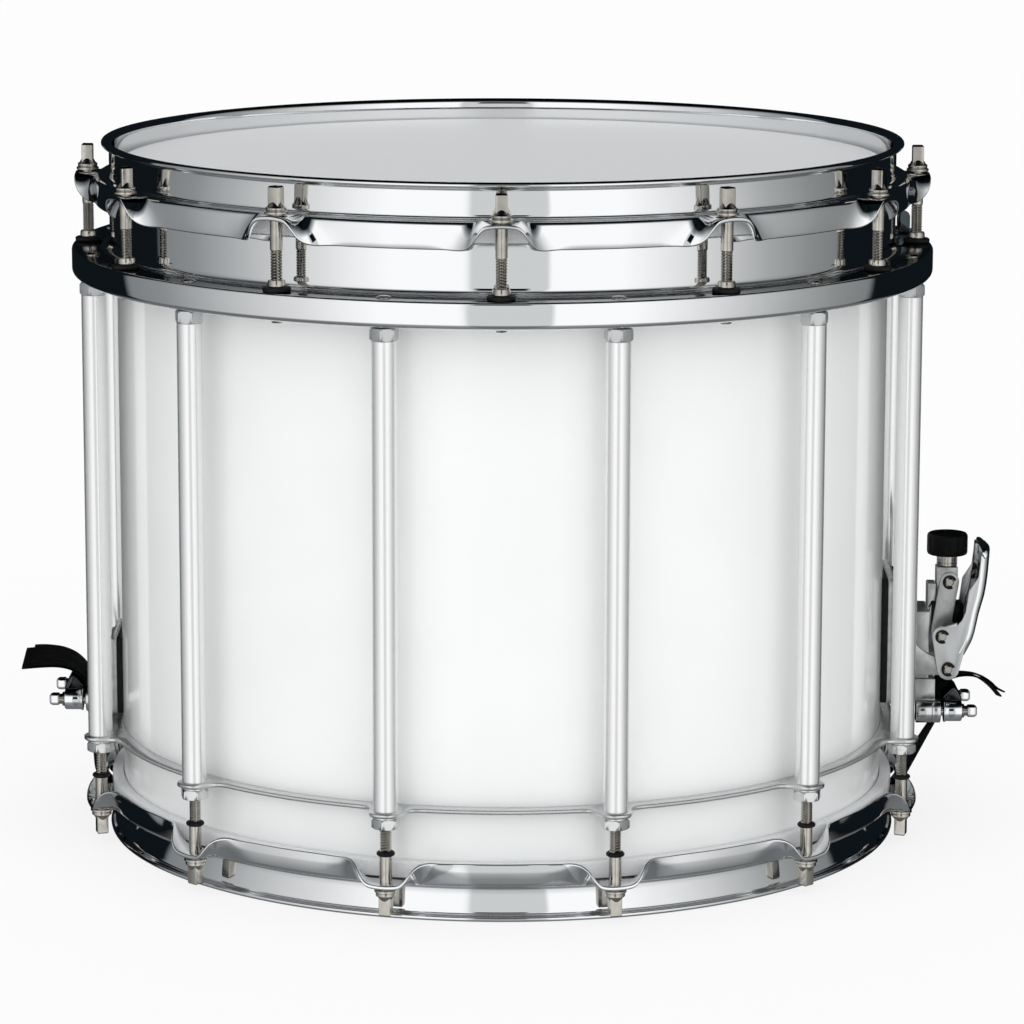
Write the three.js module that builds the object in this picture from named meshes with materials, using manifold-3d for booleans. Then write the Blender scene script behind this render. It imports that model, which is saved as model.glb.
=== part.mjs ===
// Marching snare drum: a 14 inch free-floating drum with twelve rods a side, a strainer and a butt.
// Millimetres, +Z up. The drum axis is Z, the strainer is on +X and the player's far side is -Y.
// Heights are counted from the plane that the lower rim stands on. The finished group is lowered so
// that the origin is the middle of the batter head, where the sticks land.
import * as THREE from 'three';
import { mergeVertices } from 'three/addons/utils/BufferGeometryUtils.js';
import Module from 'manifold-3d';

// Driving dimensions

// Clearance between pieces that touch or nearly touch
const fitGap = 0.3;
// How far a cutting tool runs past the piece that it cuts, and how deep joined pieces sink
const overrun = 1;
const weld = 0.4;

// Shell: lacquered wood tube
const shellRadius = 177.8;
const shellWall = 7;
const shellDepth = 301.2;
const bearingCut = 4;
const bearingRise = 6;

// Heads: clear film lapped over the bearing edge into a flesh hoop
const filmThickness = 0.3;
const headRecess = 9.4;
const fleshWidth = 4.8;
const fleshHeight = 7.5;

// Hoops: pressed steel with a rolled lip, a ledge with twelve ears and a turned skirt
const hoopSheet = 2;
const hoopRise = 15.8;
const lipOverhang = 3.6;
const lipHeight = 2.6;
const lipRound = 0.8;
const ledgeReach = 6.7;
const earReach = 16.3;
const skirtDrop = 11.7;
const earSkirtDrop = 3.4;
const hoopBend = 1.6;
const earHalfWidth = 6;
const earBlend = 18;

// Snare gate: the window in the lower hoop that each strap passes through
const gateHalfWidth = 14;
const gateLow = 4.5;
const gateHigh = 21;

// Top ring: cast, with a sleeve round the shell and a flange that carries rods and tubes
const ringDrop = 48.5;
const ringThickness = 12.1;
const ringReach = 17.4;
const sleeveWall = 2.7;
const ringFillet = 6;
const ringTopRound = 1.6;
const ringBottomRound = 2.6;

// Bottom ring: flat plate with an ear at each tube
const plateRise = 48.1;
const plateThickness = 2;
const plateWidth = 6.9;
const plateEarRadius = 7.6;
const plateEarHalfWidth = 4.6;
const plateEarBlend = 6.4;

// Tension rods: square head, flange, washer, plain shank and thread
const rodOffset = 10.5;
const rodRadius = 2.75;
const rodHeadSide = 5.2;
const rodHeadHeight = 8.9;
const rodFlangeRadius = 4.4;
const rodFlangeHeight = 1.7;
const washerRadius = 5.1;
const washerHeight = 1.5;
const rodTipBelowRing = 1.3;
const lowerRodLength = 47;
const ringSealRadius = 4.4;
const ringSealHeight = 2.8;
const ringSealRise = 14.2;

// Receivers in the top ring
const receiverRadius = 3.9;
const receiverHeight = 2.9;
const padRadius = 6.2;
const padHeight = 2.1;

// Lug tubes: hex shoulder, screw through the ring with a low head, lower neck and lock nut
const tubeRadius = 5.55;
const nutAcrossFlats = 11;
const upperNutHeight = 5.4;
const lowerNutHeight = 5.2;
const neckRadius = 4.2;
const tubeScrewRadius = 2.3;
const tubeScrewHeadRadius = 3.2;
const tubeScrewHeight = 1;
const boreDepthPastRod = 2;

// Strainer, from its lever pivot outwards: reach from the shell and rise of the base over the bottom ring
const pivotReach = 30.8;
const baseRise = 8.6;
const pinRadius = 2.2;
const clipThickness = 0.9;
const clipRadius = 3.2;
const crankInset = 3.1;
const crankRise = 15.6;
const linkPinRise = 39.6;
const linkPinOffset = 0.8;
const linkHalfWidth = 4.5;
const linkWebDepth = 5;
const linkWebHigh = 28.9;
const linkWebLow = 19.3;
const sideSheet = 1.6;
const cheekInside = 12.6;
const cheekWall = 1.8;
const cheekRadius = 5;
const leverFootRadius = 5.2;
const leverLength = 58;
const leverDepth = 17.6;
const leverTipDepth = 3.8;
const cheekDrop = 3.3;
const leverWebStart = 6;
const crankEyeRadius = 4.7;

const basePlateHeight = 60;
const basePlateDrop = 15.4;
const basePlateHalfWidth = 24;
const basePlateWall = 5.4;
const guideHalfWidth = 10.8;
const guideDepth = 10.2;
const guideRise = 41.6;
const guideDrop = 12.1;
const baseBoltRadius = 3.2;
const baseBoltHeight = 2.2;
const baseBoltInset = 6.2;

const columnDepth = 6.2;
const columnTop = 26.7;
const armTop = 16;
const armBottom = 5.4;
const armNose = 3.2;
const footDepth = 9.4;
const footTop = -6.6;
const tongueDepth = 3.2;
const tongueRelief = 0.7;
const tongueTop = 38.5;
const tongueBottom = 29.9;

const yokeHalfWidth = 4.6;
const yokeBack = 5.1;
const yokeFront = 4.8;
const yokeTop = 46.2;
const yokeBottom = 36.6;

const screwRadius = 2.2;
const screwTipRise = 7;
const knobRadius = 9.5;
const knobHeight = 10;
const knobRise = 51.9;
const knobRound = 0.9;
const knobCollarRadius = 4.8;
const knobCollarHeight = 5.4;

// Strap clamps: two bosses a side, a bar between them, a lip over which the strap turns
const clampHalfSpacing = 16;
const clampBossRadius = 5.6;
const clampPlateBossRadius = 4.9;
const clampPlateBossDepth = 8.6;
const clampBarHalfHeight = 3.6;
const clampBarDepth = 4.2;
const clampSeat = 3.4;
const clampLipHalfWidth = 9.6;
const strainerClampDrop = 19.9;
const clampScrewRadius = 2.4;
const clampScrewHead = 5.5;
const clampScrewHeadLength = 6.8;
const clampScrewInset = 9;

// Straps: woven tape
const strapWidth = 24;
const strapThickness = 0.9;

// Butt: plain fixed clamp opposite the strainer, its plate standing over the bottom ring
const buttRise = 2.4;
const buttReach = 16.4;
const buttPlateWall = 4.6;
const buttPlateHalfWidth = 22;
const buttPlateRise = 31;
const buttPlateDrop = 6.5;
const buttBlockHalfHeight = 5;

// Snare unit: straight strands between two end plates
const strandCount = 12;
const strandRadius = 0.6;
const strandPitch = 2.8;
const snareInset = 5.8;
const snarePlateLength = 11;
const snarePlateThickness = 2;
const snarePlateMargin = 3;

// Carrier tab on the top ring: a foot and an upright with a round top
const tabAngle = 100;
const tabFootLength = 9;
const tabFootWidth = 8;
const tabSheet = 1.6;
const tabHeight = 10.4;
const tabWidth = 6.2;

// Counts and shares

const rodCount = 12;
const roundSides = 48;
const boreSides = 8;
const smallSides = 10;
const knobSides = 16;
const pitchAngle = 360 / rodCount;
// Angles from an ear, in shares of half the pitch between two ears
const earStepShares = [-0.5, -0.267, -0.133, 0.133, 0.267, 0.5, 1];
const plateStepShares = [-0.5, -0.23, -0.17, -0.1, 0.1, 0.17, 0.23, 0.5, 1];
// Lever side plate, in shares of the lever's depth and length: up the outside from the foot, over
// the tip, then down the inside past the kink to the crank eye
const leverOuterShares = [[0.3, 0.03], [0.64, 0.25], [0.773, 0.45], [0.892, 0.602], [0.96, 0.755], [1, 0.936]];
const leverTipShares = [[0.97, 0.985], [0.88, 1]];
const leverInnerShares = [[0.75, 0.755], [0.511, 0.643], [0.432, 0.467], [0.341, 0.402], [0.19, 0.347]];
// Lip that turns the strap, from its root, in shares of its depth and height above the screws
const lipShares = [[0, 0.36], [0, 0.5], [0.45, 0.95], [0.6, 1], [0.78, 0.84], [1, 0.4], [0.92, 0.1]];
const lipDepth = 9.5;
const lipHeightAboveScrews = 9.8;

// Strap routes, points chosen by hand in the XZ plane. Both tapes leave the snare unit through the gate,
// in distance outwards from the shell and height
const gateRoute = [
  [-5, 8.1], [-1.6, 8.3], [2.4, 9.9], [6.2, 13.2], [9.4, 17.2], [11.8, 21.2],
];
const strainerGateEnd = [13.7, 25];
const buttGateEnd = [13.2, 25];
// Over each clamp, counted from the seam at the screws: outwards, up, and the rise of the front edge
// over the middle of the tape
const strainerClampRoute = [
  [-0.55, -4.6, 0], [0, -2.8, 0], [0, 3.2, 0], [-0.85, 6.4, 0], [-0.65, 8.8, 0], [1.05, 11, 0.6],
  [4.25, 12.6, 1.4], [8.45, 13.4, 2], [13.25, 13.5, 2.3], [17.85, 12.6, 2.3], [22.25, 10, 2.3],
  [25.85, 6.7, 2.3], [28.45, 3.6, 2.3],
];
const buttClampRoute = [
  [-1.55, -8.4, 0], [-0.35, -5.6, 0], [0, -3, 0], [0, 4.6, 0], [0.75, 8, 0], [3.45, 11.4, -0.5],
  [7.45, 14.2, -1.1], [13.05, 15.9, -1.7], [20.15, 16.3, -2.2], [29.85, 15.6, -2.3],
];

// Worked-out radii
const sleeveInner = shellRadius + fitGap;
const sleeveOuter = sleeveInner + sleeveWall;
const filmRadius = shellRadius + fitGap + filmThickness;
const filmFlatRadius = shellRadius - bearingCut;
const collarInner = filmRadius + fitGap;
const collarOuter = collarInner + hoopSheet;
const ledgeRadius = collarOuter + ledgeReach;
const earRadius = collarOuter + earReach;
const lipRadius = collarOuter + lipOverhang;
const rodPitchRadius = collarOuter + rodOffset;
const ringRadius = sleeveOuter + ringReach;
const fleshRadius = filmRadius + fleshWidth;

// Worked-out heights
const headStack = headRecess + filmThickness + fitGap;
const shellLow = headStack;
const shellHigh = shellLow + shellDepth;
const rimHigh = shellHigh + headStack;
const playHeight = rimHigh - headRecess;
const fleshLow = hoopRise + hoopSheet + fitGap;
const ringHigh = rimHigh - ringDrop;
const ringLow = ringHigh - ringThickness;
const sleeveHigh = rimHigh - fleshLow - fleshHeight - fitGap;
const plateHigh = plateRise + plateThickness;
const pivotHeight = plateHigh + baseRise + basePlateDrop;
const buttHeight = plateHigh + buttRise + buttPlateDrop;
const snareHalfLength = shellRadius - snareInset;

// Libraries and small helpers

const wasm = await Module();
wasm.setup();

function material(color, roughness, metalness) {
  return new THREE.MeshStandardMaterial({ color, roughness, metalness });
}

const finishes = {
  lacquer: material(0xf3f4f4, 0.18, 0),
  chrome: material(0xd8dadc, 0.08, 1),
  steel: material(0xb9b7b2, 0.3, 1),
  milledSteel: material(0xa9a9a8, 0.4, 1),
  aluminium: material(0xd4d6d8, 0.28, 1),
  castAluminium: material(0xb4b5b5, 0.45, 1),
  film: material(0xd5d7d8, 0.35, 0),
  knobPlastic: material(0x141415, 0.5, 0),
  webbing: material(0x121213, 0.85, 0),
  gut: material(0xd9d6cc, 0.4, 0),
};

function radians(degrees) {
  return THREE.MathUtils.degToRad(degrees);
}

function solidOf(geometry) {
  const bare = geometry.clone();
  bare.deleteAttribute('normal');
  bare.deleteAttribute('uv');
  const merged = mergeVertices(bare, 1e-4);
  const corners = [...merged.index.array];
  const whole = [];
  for (let i = 0; i < corners.length; i += 3) {
    const [a, b, c] = corners.slice(i, i + 3);
    if (a !== b && b !== c && c !== a) whole.push(a, b, c);
  }
  return new wasm.Manifold(new wasm.Mesh({
    numProp: 3,
    vertProperties: new Float32Array(merged.attributes.position.array),
    triVerts: new Uint32Array(whole),
  }));
}

function geometryOf(solid) {
  const mesh = solid.getMesh();
  const geometry = new THREE.BufferGeometry();
  geometry.setAttribute('position', new THREE.BufferAttribute(mesh.vertProperties, 3));
  geometry.setIndex(new THREE.BufferAttribute(mesh.triVerts, 1));
  return geometry;
}

function join(...solids) {
  return solids.reduce((whole, next) => whole.add(next));
}

function cut(whole, ...tools) {
  return tools.reduce((rest, tool) => rest.subtract(tool), whole);
}

// Radius of a hole whose flats clear a shaft of this radius
function clearHole(radius) {
  return (radius + fitGap) / Math.cos(Math.PI / boreSides);
}

function postZ(x, y, low, high, radius, sides) {
  const geometry = new THREE.CylinderGeometry(radius, radius, high - low, sides);
  geometry.rotateX(Math.PI / 2);
  geometry.translate(x, y, (low + high) / 2);
  return solidOf(geometry);
}

function postX(low, high, y, z, radius, sides) {
  const geometry = new THREE.CylinderGeometry(radius, radius, high - low, sides);
  geometry.rotateZ(Math.PI / 2);
  geometry.translate((low + high) / 2, y, z);
  return solidOf(geometry);
}

function postY(x, low, high, z, radius, sides) {
  const geometry = new THREE.CylinderGeometry(radius, radius, high - low, sides);
  geometry.translate(x, (low + high) / 2, z);
  return solidOf(geometry);
}

function block(x0, x1, y0, y1, z0, z1) {
  const geometry = new THREE.BoxGeometry(x1 - x0, y1 - y0, z1 - z0);
  geometry.translate((x0 + x1) / 2, (y0 + y1) / 2, (z0 + z1) / 2);
  return solidOf(geometry);
}

// A profile of [radius, height] points turned round the Z axis, closed on itself unless it meets the axis
function revolve(profile, sides = roundSides) {
  const closed = profile[0][0] > 0 ? [...profile, profile[0]] : profile;
  const geometry = new THREE.LatheGeometry(closed.map(([r, z]) => new THREE.Vector2(r, z)), sides);
  geometry.rotateX(Math.PI / 2);
  return solidOf(geometry);
}

// A THREE.Shape in the XZ plane pushed out from y0 to y1
function slabY(shape, y0, y1, curveSegments = 3) {
  const geometry = new THREE.ExtrudeGeometry(shape, { depth: y1 - y0, bevelEnabled: false, curveSegments });
  geometry.rotateX(Math.PI / 2);
  geometry.translate(0, y1, 0);
  return solidOf(geometry);
}

function outlineOf(points) {
  return new THREE.Shape(points.map(([x, y]) => new THREE.Vector2(x, y)));
}

// Closed rings of points joined side by side into one surface that closes on itself
function sweepRings(rings) {
  const perRing = rings[0].length;
  const positions = rings.flat(2);
  const index = [];
  rings.forEach((ring, i) => {
    const next = (i + 1) % rings.length;
    ring.forEach((point, j) => {
      const k = (j + 1) % perRing;
      const a = i * perRing + j;
      const b = next * perRing + j;
      const c = next * perRing + k;
      const d = i * perRing + k;
      index.push(a, b, c, a, c, d);
    });
  });
  const geometry = new THREE.BufferGeometry();
  geometry.setAttribute('position', new THREE.Float32BufferAttribute(positions, 3));
  geometry.setIndex(index);
  return solidOf(geometry);
}

// Both strainer and butt have two of most pieces, one each side of the middle plane
function bothSides(make) {
  return join(make(-1), make(1));
}

const drum = new THREE.Group();
drum.name = 'marching_snare_drum';
drum.position.z = -playHeight;

function place(name, solid, finish, parent = drum) {
  const mesh = new THREE.Mesh(geometryOf(solid), finish);
  mesh.name = name;
  parent.add(mesh);
  return mesh;
}

// Twelve copies round the drum, each made once at the front and turned to its place
function placeRound(stem, solid, finish, firstAngle) {
  const geometry = geometryOf(solid);
  for (let i = 0; i < rodCount; i += 1) {
    const mesh = new THREE.Mesh(geometry, finish);
    mesh.name = `${stem}_${String(i + 1).padStart(2, '0')}`;
    mesh.rotation.z = radians(firstAngle + i * pitchAngle);
    drum.add(mesh);
  }
}

// Shell

function makeShell() {
  const inner = shellRadius - shellWall;
  return revolve([
    [filmFlatRadius, shellLow],
    [shellRadius, shellLow + bearingRise],
    [shellRadius, shellHigh - bearingRise],
    [filmFlatRadius, shellHigh],
    [inner, shellHigh - bearingCut],
    [inner, shellLow + bearingCut],
  ]);
}

// Heads: the playing film, its fold down the shell and the flesh hoop that the rim presses on

function makeHead(flipped) {
  const height = (drop) => (flipped ? rimHigh - drop : drop);
  const outside = headRecess;
  const inside = headRecess + filmThickness;
  const foldRise = bearingRise + filmThickness;
  const profile = [
    [0, height(inside)],
    [filmFlatRadius, height(inside)],
    [filmRadius - filmThickness, height(inside + foldRise)],
    [filmRadius - filmThickness, height(fleshLow + fleshHeight)],
    [fleshRadius, height(fleshLow + fleshHeight)],
    [fleshRadius, height(fleshLow)],
    [filmRadius, height(fleshLow)],
    [filmRadius, height(outside + foldRise)],
    [filmFlatRadius, height(outside)],
    [0, height(outside)],
  ];
  return revolve(flipped ? profile : profile.reverse());
}

// Hoops

function smoothStep(value) {
  const t = Math.min(Math.max(value, 0), 1);
  return t * t * (3 - 2 * t);
}

// Angles round the drum at which a scalloped outline has its points
function scallopAngles(firstAngle, stepShares) {
  const angles = [];
  for (let i = 0; i < rodCount; i += 1) {
    for (const share of stepShares) {
      angles.push({ angle: firstAngle + i * pitchAngle + share * pitchAngle / 2, share });
    }
  }
  return angles;
}

function arcFromEar(share) {
  return Math.abs(share) * radians(pitchAngle / 2) * rodPitchRadius;
}

function makeHoop(firstAngle, flipped) {
  const height = (drop) => (flipped ? rimHigh - drop : drop);
  const rings = scallopAngles(firstAngle, earStepShares).map(({ angle, share }) => {
    const away = smoothStep((arcFromEar(share) - earHalfWidth) / earBlend);
    const edge = THREE.MathUtils.lerp(earRadius, ledgeRadius, away);
    const skirt = hoopRise + THREE.MathUtils.lerp(earSkirtDrop, skirtDrop, away);
    const profile = [
      [collarInner, lipRound],
      [collarInner + hoopSheet / 2, 0],
      [lipRadius - lipRound, 0],
      [lipRadius, lipRound],
      [lipRadius, lipHeight],
      [collarOuter, lipHeight + lipRound],
      [collarOuter, hoopRise],
      [edge - hoopBend, hoopRise],
      [edge, hoopRise + hoopBend],
      [edge, skirt],
      [edge - hoopSheet, skirt],
      [edge - hoopSheet, hoopRise + hoopSheet],
      [collarInner, hoopRise + hoopSheet],
    ];
    const a = radians(angle);
    const ring = profile.map(([r, drop]) => [r * Math.sin(a), -r * Math.cos(a), height(drop)]);
    return flipped ? ring.reverse() : ring;
  });
  const holeLow = Math.min(height(hoopRise - overrun), height(hoopRise + hoopSheet + overrun));
  const holeHigh = Math.max(height(hoopRise - overrun), height(hoopRise + hoopSheet + overrun));
  return cut(sweepRings(rings), ...boresRound(firstAngle, holeLow, holeHigh, clearHole(rodRadius)));
}

function boresRound(firstAngle, low, high, radius) {
  const bores = [];
  for (let i = 0; i < rodCount; i += 1) {
    const a = radians(firstAngle + i * pitchAngle);
    bores.push(postZ(rodPitchRadius * Math.sin(a), -rodPitchRadius * Math.cos(a), low, high, radius, boreSides));
  }
  return bores;
}

function makeLowerHoop() {
  const inside = collarInner - overrun;
  const outside = ledgeRadius + overrun;
  const gate = (side) => block(
    side > 0 ? inside : -outside,
    side > 0 ? outside : -inside,
    -gateHalfWidth,
    gateHalfWidth,
    gateLow,
    gateHigh,
  );
  return cut(makeHoop(pitchAngle / 2, false), gate(-1), gate(1));
}

// Top ring with its receivers

function makeTopRing() {
  const fillet = [];
  const filletSteps = 3;
  for (let i = 0; i <= filletSteps; i += 1) {
    const a = (i / filletSteps) * Math.PI / 2;
    fillet.push([
      sleeveOuter + ringFillet * (1 - Math.sin(a)),
      ringHigh + ringFillet * (1 - Math.cos(a)),
    ]);
  }
  const ring = revolve([
    [sleeveInner, ringLow],
    [ringRadius - ringBottomRound, ringLow],
    [ringRadius, ringLow + ringBottomRound],
    [ringRadius, ringHigh - ringTopRound],
    [ringRadius - ringTopRound, ringHigh],
    ...fillet,
    [sleeveOuter, sleeveHigh],
    [sleeveInner, sleeveHigh],
  ]);
  const pads = [];
  for (let i = 0; i < rodCount; i += 1) {
    const a = radians(i * pitchAngle);
    const x = rodPitchRadius * Math.sin(a);
    const y = -rodPitchRadius * Math.cos(a);
    pads.push(postZ(x, y, ringHigh - weld, ringHigh + padHeight, padRadius, smallSides));
    pads.push(postZ(x, y, ringHigh, ringHigh + padHeight + receiverHeight, receiverRadius, boreSides));
  }
  const top = ringHigh + padHeight + receiverHeight + overrun;
  return cut(
    join(ring, ...pads),
    ...boresRound(0, ringLow - overrun, top, clearHole(rodRadius)),
    ...boresRound(pitchAngle / 2, ringLow - overrun, top, clearHole(tubeScrewRadius)),
  );
}

// Bottom ring

function makeBottomRing() {
  const midRadius = sleeveInner + plateWidth;
  const tipRadius = rodPitchRadius + plateEarRadius;
  const outline = scallopAngles(pitchAngle / 2, plateStepShares).map(({ angle, share }) => {
    const away = smoothStep((arcFromEar(share) - plateEarHalfWidth) / plateEarBlend);
    const r = THREE.MathUtils.lerp(tipRadius, midRadius, away);
    return [r * Math.sin(radians(angle)), -r * Math.cos(radians(angle))];
  });
  const shape = outlineOf(outline);
  const bore = [];
  for (let i = 0; i < roundSides; i += 1) {
    const a = (i / roundSides) * 2 * Math.PI;
    bore.push(new THREE.Vector2(sleeveInner * Math.sin(a), sleeveInner * Math.cos(a)));
  }
  shape.holes.push(new THREE.Path(bore));
  const geometry = new THREE.ExtrudeGeometry(shape, { depth: plateThickness, bevelEnabled: false });
  geometry.translate(0, 0, plateRise);
  const bores = boresRound(pitchAngle / 2, plateRise - overrun, plateHigh + overrun, clearHole(neckRadius));
  return cut(solidOf(geometry), ...bores);
}

// Rods, both kinds made with the head end at height zero and the shank going up

function makeRod(length, sealRise) {
  const y = -rodPitchRadius;
  const headHigh = rodHeadHeight + weld;
  const flangeHigh = rodHeadHeight + rodFlangeHeight;
  const pieces = [
    block(-rodHeadSide / 2, rodHeadSide / 2, y - rodHeadSide / 2, y + rodHeadSide / 2, 0, headHigh),
    postZ(0, y, rodHeadHeight, flangeHigh, rodFlangeRadius, boreSides),
    postZ(0, y, flangeHigh, flangeHigh + washerHeight, washerRadius, smallSides),
    postZ(0, y, flangeHigh, length, rodRadius, boreSides),
  ];
  if (sealRise) {
    pieces.push(postZ(0, y, sealRise, sealRise + ringSealHeight, ringSealRadius, smallSides));
  }
  return join(...pieces);
}

// Height of the rod's washer face above its head end
const rodSeat = rodHeadHeight + rodFlangeHeight + washerHeight;

function placeRods() {
  const headTop = rimHigh - hoopRise + fitGap + rodSeat;
  const upper = makeRod(headTop - ringLow + rodTipBelowRing, 0)
    .rotate([180, 0, 0])
    .rotate([0, 0, 180])
    .translate([0, 0, headTop]);
  const headLow = hoopRise - fitGap - rodSeat;
  const lower = makeRod(rodSeat + lowerRodLength, rodSeat + ringSealRise).translate([0, 0, headLow]);
  placeRound('top_rod', upper, finishes.steel, 0);
  placeRound('bottom_rod', lower, finishes.steel, pitchAngle / 2);
}

// Lug tubes

function hexNut(low, high) {
  const radius = nutAcrossFlats / 2 / Math.cos(Math.PI / 6);
  return postZ(0, -rodPitchRadius, low, high, radius, 6);
}

function makeTube() {
  const y = -rodPitchRadius;
  const nutHigh = ringLow - fitGap;
  const nutLow = nutHigh - upperNutHeight;
  const tubeLow = plateHigh + fitGap;
  const lowNutHigh = plateRise - fitGap;
  const lowNutLow = lowNutHigh - lowerNutHeight;
  const screwLow = ringHigh + fitGap;
  const body = join(
    postZ(0, y, tubeLow, nutLow + weld, tubeRadius, smallSides),
    hexNut(nutLow, nutHigh),
    postZ(0, y, nutHigh - weld, screwLow + weld, tubeScrewRadius, boreSides),
    postZ(0, y, screwLow, screwLow + tubeScrewHeight, tubeScrewHeadRadius, boreSides),
    postZ(0, y, lowNutLow, tubeLow + weld, neckRadius, boreSides),
    hexNut(lowNutLow, lowNutHigh),
  );
  const rodTip = hoopRise - fitGap + lowerRodLength;
  return cut(body, postZ(0, y, lowNutLow - overrun, rodTip + boreDepthPastRod, clearHole(rodRadius), boreSides));
}

// Strainer: everything below is in the drum's own X and height

const pivotX = shellRadius + pivotReach;
const linkInside = yokeHalfWidth + fitGap;
const linkOutside = linkInside + sideSheet;
const linkPinX = pivotX + linkPinOffset;
const knobX = pivotX;
const leverInside = cheekInside + cheekWall + fitGap;
const leverOutside = leverInside + sideSheet;
const clampZ = pivotHeight - strainerClampDrop;

function saddle(side, xOut, halfWidth, low, high) {
  const inner = Math.sqrt(shellRadius ** 2 - halfWidth ** 2) - overrun;
  const plate = block(
    side > 0 ? inner : -xOut,
    side > 0 ? xOut : -inner,
    -halfWidth,
    halfWidth,
    low,
    high,
  );
  return cut(plate, postZ(0, 0, low - overrun, high + overrun, sleeveInner, roundSides));
}

const plateFace = shellRadius + basePlateWall;
const guideFace = plateFace + guideDepth;
const columnX = guideFace + fitGap;

function makeStrainerBase() {
  const plateLow = pivotHeight - basePlateDrop;
  const plateTop = plateLow + basePlateHeight;
  const guideTop = pivotHeight + guideRise;
  const cheekTop = pivotHeight + guideDrop - fitGap;
  const cheekBottom = pivotHeight - cheekDrop;
  const cheek = new THREE.Shape();
  cheek.moveTo(plateFace - weld, cheekTop);
  cheek.lineTo(plateFace - weld, cheekBottom);
  cheek.absarc(pivotX, pivotHeight, cheekRadius, Math.PI + Math.asin(cheekDrop / cheekRadius), Math.PI / 2, false);
  cheek.quadraticCurveTo(guideFace + cheekRadius, pivotHeight + cheekRadius, guideFace, cheekTop);
  const boltY = basePlateHalfWidth - baseBoltInset;
  return join(
    saddle(1, plateFace, basePlateHalfWidth, plateLow, plateTop),
    block(plateFace - weld, guideFace, -guideHalfWidth, guideHalfWidth, pivotHeight - guideDrop, guideTop),
    bothSides((side) => {
      const inner = side * cheekInside;
      const outer = side * (cheekInside + cheekWall);
      const stubEnd = side * (leverOutside + fitGap + clipThickness);
      const clipStart = side * (leverOutside + fitGap);
      const bolt = (z) => postX(plateFace - weld, plateFace + baseBoltHeight, side * boltY, z, baseBoltRadius, 6);
      return join(
        slabY(cheek, Math.min(inner, outer), Math.max(inner, outer)),
        postY(pivotX, Math.min(inner, stubEnd), Math.max(inner, stubEnd), pivotHeight, pinRadius, boreSides),
        postY(pivotX, Math.min(clipStart, stubEnd), Math.max(clipStart, stubEnd), pivotHeight, clipRadius, smallSides),
        bolt(plateLow + baseBoltInset),
        bolt(plateTop - baseBoltInset),
      );
    }),
  );
}

function makeLever() {
  const point = ([u, w]) => [pivotX + u * leverDepth, pivotHeight + w * leverLength];
  const crankX = pivotX - crankInset;
  const crankZ = pivotHeight + crankRise;
  const tipX = pivotX + leverDepth - leverTipDepth;
  const side = new THREE.Shape();
  side.absarc(pivotX, pivotHeight, leverFootRadius, radians(190), radians(340), false);
  [...leverOuterShares, ...leverTipShares].map(point).forEach(([x, z]) => side.lineTo(x, z));
  side.lineTo(tipX, pivotHeight + leverLength - leverTipDepth / 2);
  leverInnerShares.map(point).forEach(([x, z]) => side.lineTo(x, z));
  side.absarc(crankX, crankZ, crankEyeRadius, radians(75), radians(185), false);
  const whole = slabY(side, -leverOutside, leverOutside);
  const hollow = slabY(side, -leverInside, leverInside).translate([-sideSheet, 0, 0]);
  const foot = block(
    pivotX - leverDepth,
    pivotX + leverDepth,
    -leverInside,
    leverInside,
    pivotHeight - leverFootRadius - overrun,
    pivotHeight + leverWebStart,
  );
  const mouth = block(
    pivotX - leverDepth,
    crankX + crankEyeRadius + overrun,
    -leverInside,
    leverInside,
    pivotHeight,
    crankZ + crankEyeRadius + overrun,
  );
  const pinHole = postY(pivotX, -leverOutside - overrun, leverOutside + overrun, pivotHeight, clearHole(pinRadius), boreSides);
  const pinHalf = (s) => {
    const inner = s * (linkOutside + fitGap);
    const outer = s * (leverOutside + clipThickness);
    const plateSkin = s * (leverOutside - weld);
    return join(
      postY(crankX, Math.min(inner, outer), Math.max(inner, outer), crankZ, pinRadius, boreSides),
      postY(crankX, Math.min(plateSkin, outer), Math.max(plateSkin, outer), crankZ, clipRadius, smallSides),
    );
  };
  return join(cut(whole, hollow, foot, mouth, pinHole), pinHalf(-1), pinHalf(1));
}

function makeLink() {
  const pinZ = pivotHeight + linkPinRise;
  const endX = pivotX - crankInset;
  const endZ = pivotHeight + crankRise;
  const tilt = Math.atan2(linkPinX - endX, pinZ - endZ);
  const plate = new THREE.Shape();
  plate.absarc(linkPinX, pinZ, linkHalfWidth, -tilt, Math.PI - tilt, false);
  plate.absarc(endX, endZ, linkHalfWidth, Math.PI - tilt, 2 * Math.PI - tilt, false);
  const webBack = knobX + screwRadius + 2 * fitGap;
  const web = block(
    webBack,
    webBack + linkWebDepth,
    -linkInside - sideSheet / 2,
    linkInside + sideSheet / 2,
    pivotHeight + linkWebLow,
    pivotHeight + linkWebHigh,
  );
  return cut(
    join(slabY(plate, linkInside, linkOutside, 6), slabY(plate, -linkOutside, -linkInside, 6), web),
    postY(linkPinX, -linkOutside - overrun, linkOutside + overrun, pinZ, clearHole(pinRadius), boreSides),
  );
}

function makeYoke() {
  const pinZ = pivotHeight + linkPinRise;
  const clipStart = linkOutside + fitGap;
  const clipEnd = clipStart + clipThickness;
  const body = join(
    block(
      pivotX - yokeBack,
      pivotX + yokeFront,
      -yokeHalfWidth,
      yokeHalfWidth,
      pivotHeight + yokeBottom,
      pivotHeight + yokeTop,
    ),
    postY(linkPinX, -clipEnd, clipEnd, pinZ, pinRadius, boreSides),
    postY(linkPinX, clipStart, clipEnd, pinZ, clipRadius, smallSides),
    postY(linkPinX, -clipEnd, -clipStart, pinZ, clipRadius, smallSides),
  );
  const bottom = pivotHeight + yokeBottom - overrun;
  const top = pivotHeight + yokeTop + overrun;
  return cut(body, postZ(knobX, 0, bottom, top, clearHole(screwRadius), boreSides));
}

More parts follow.
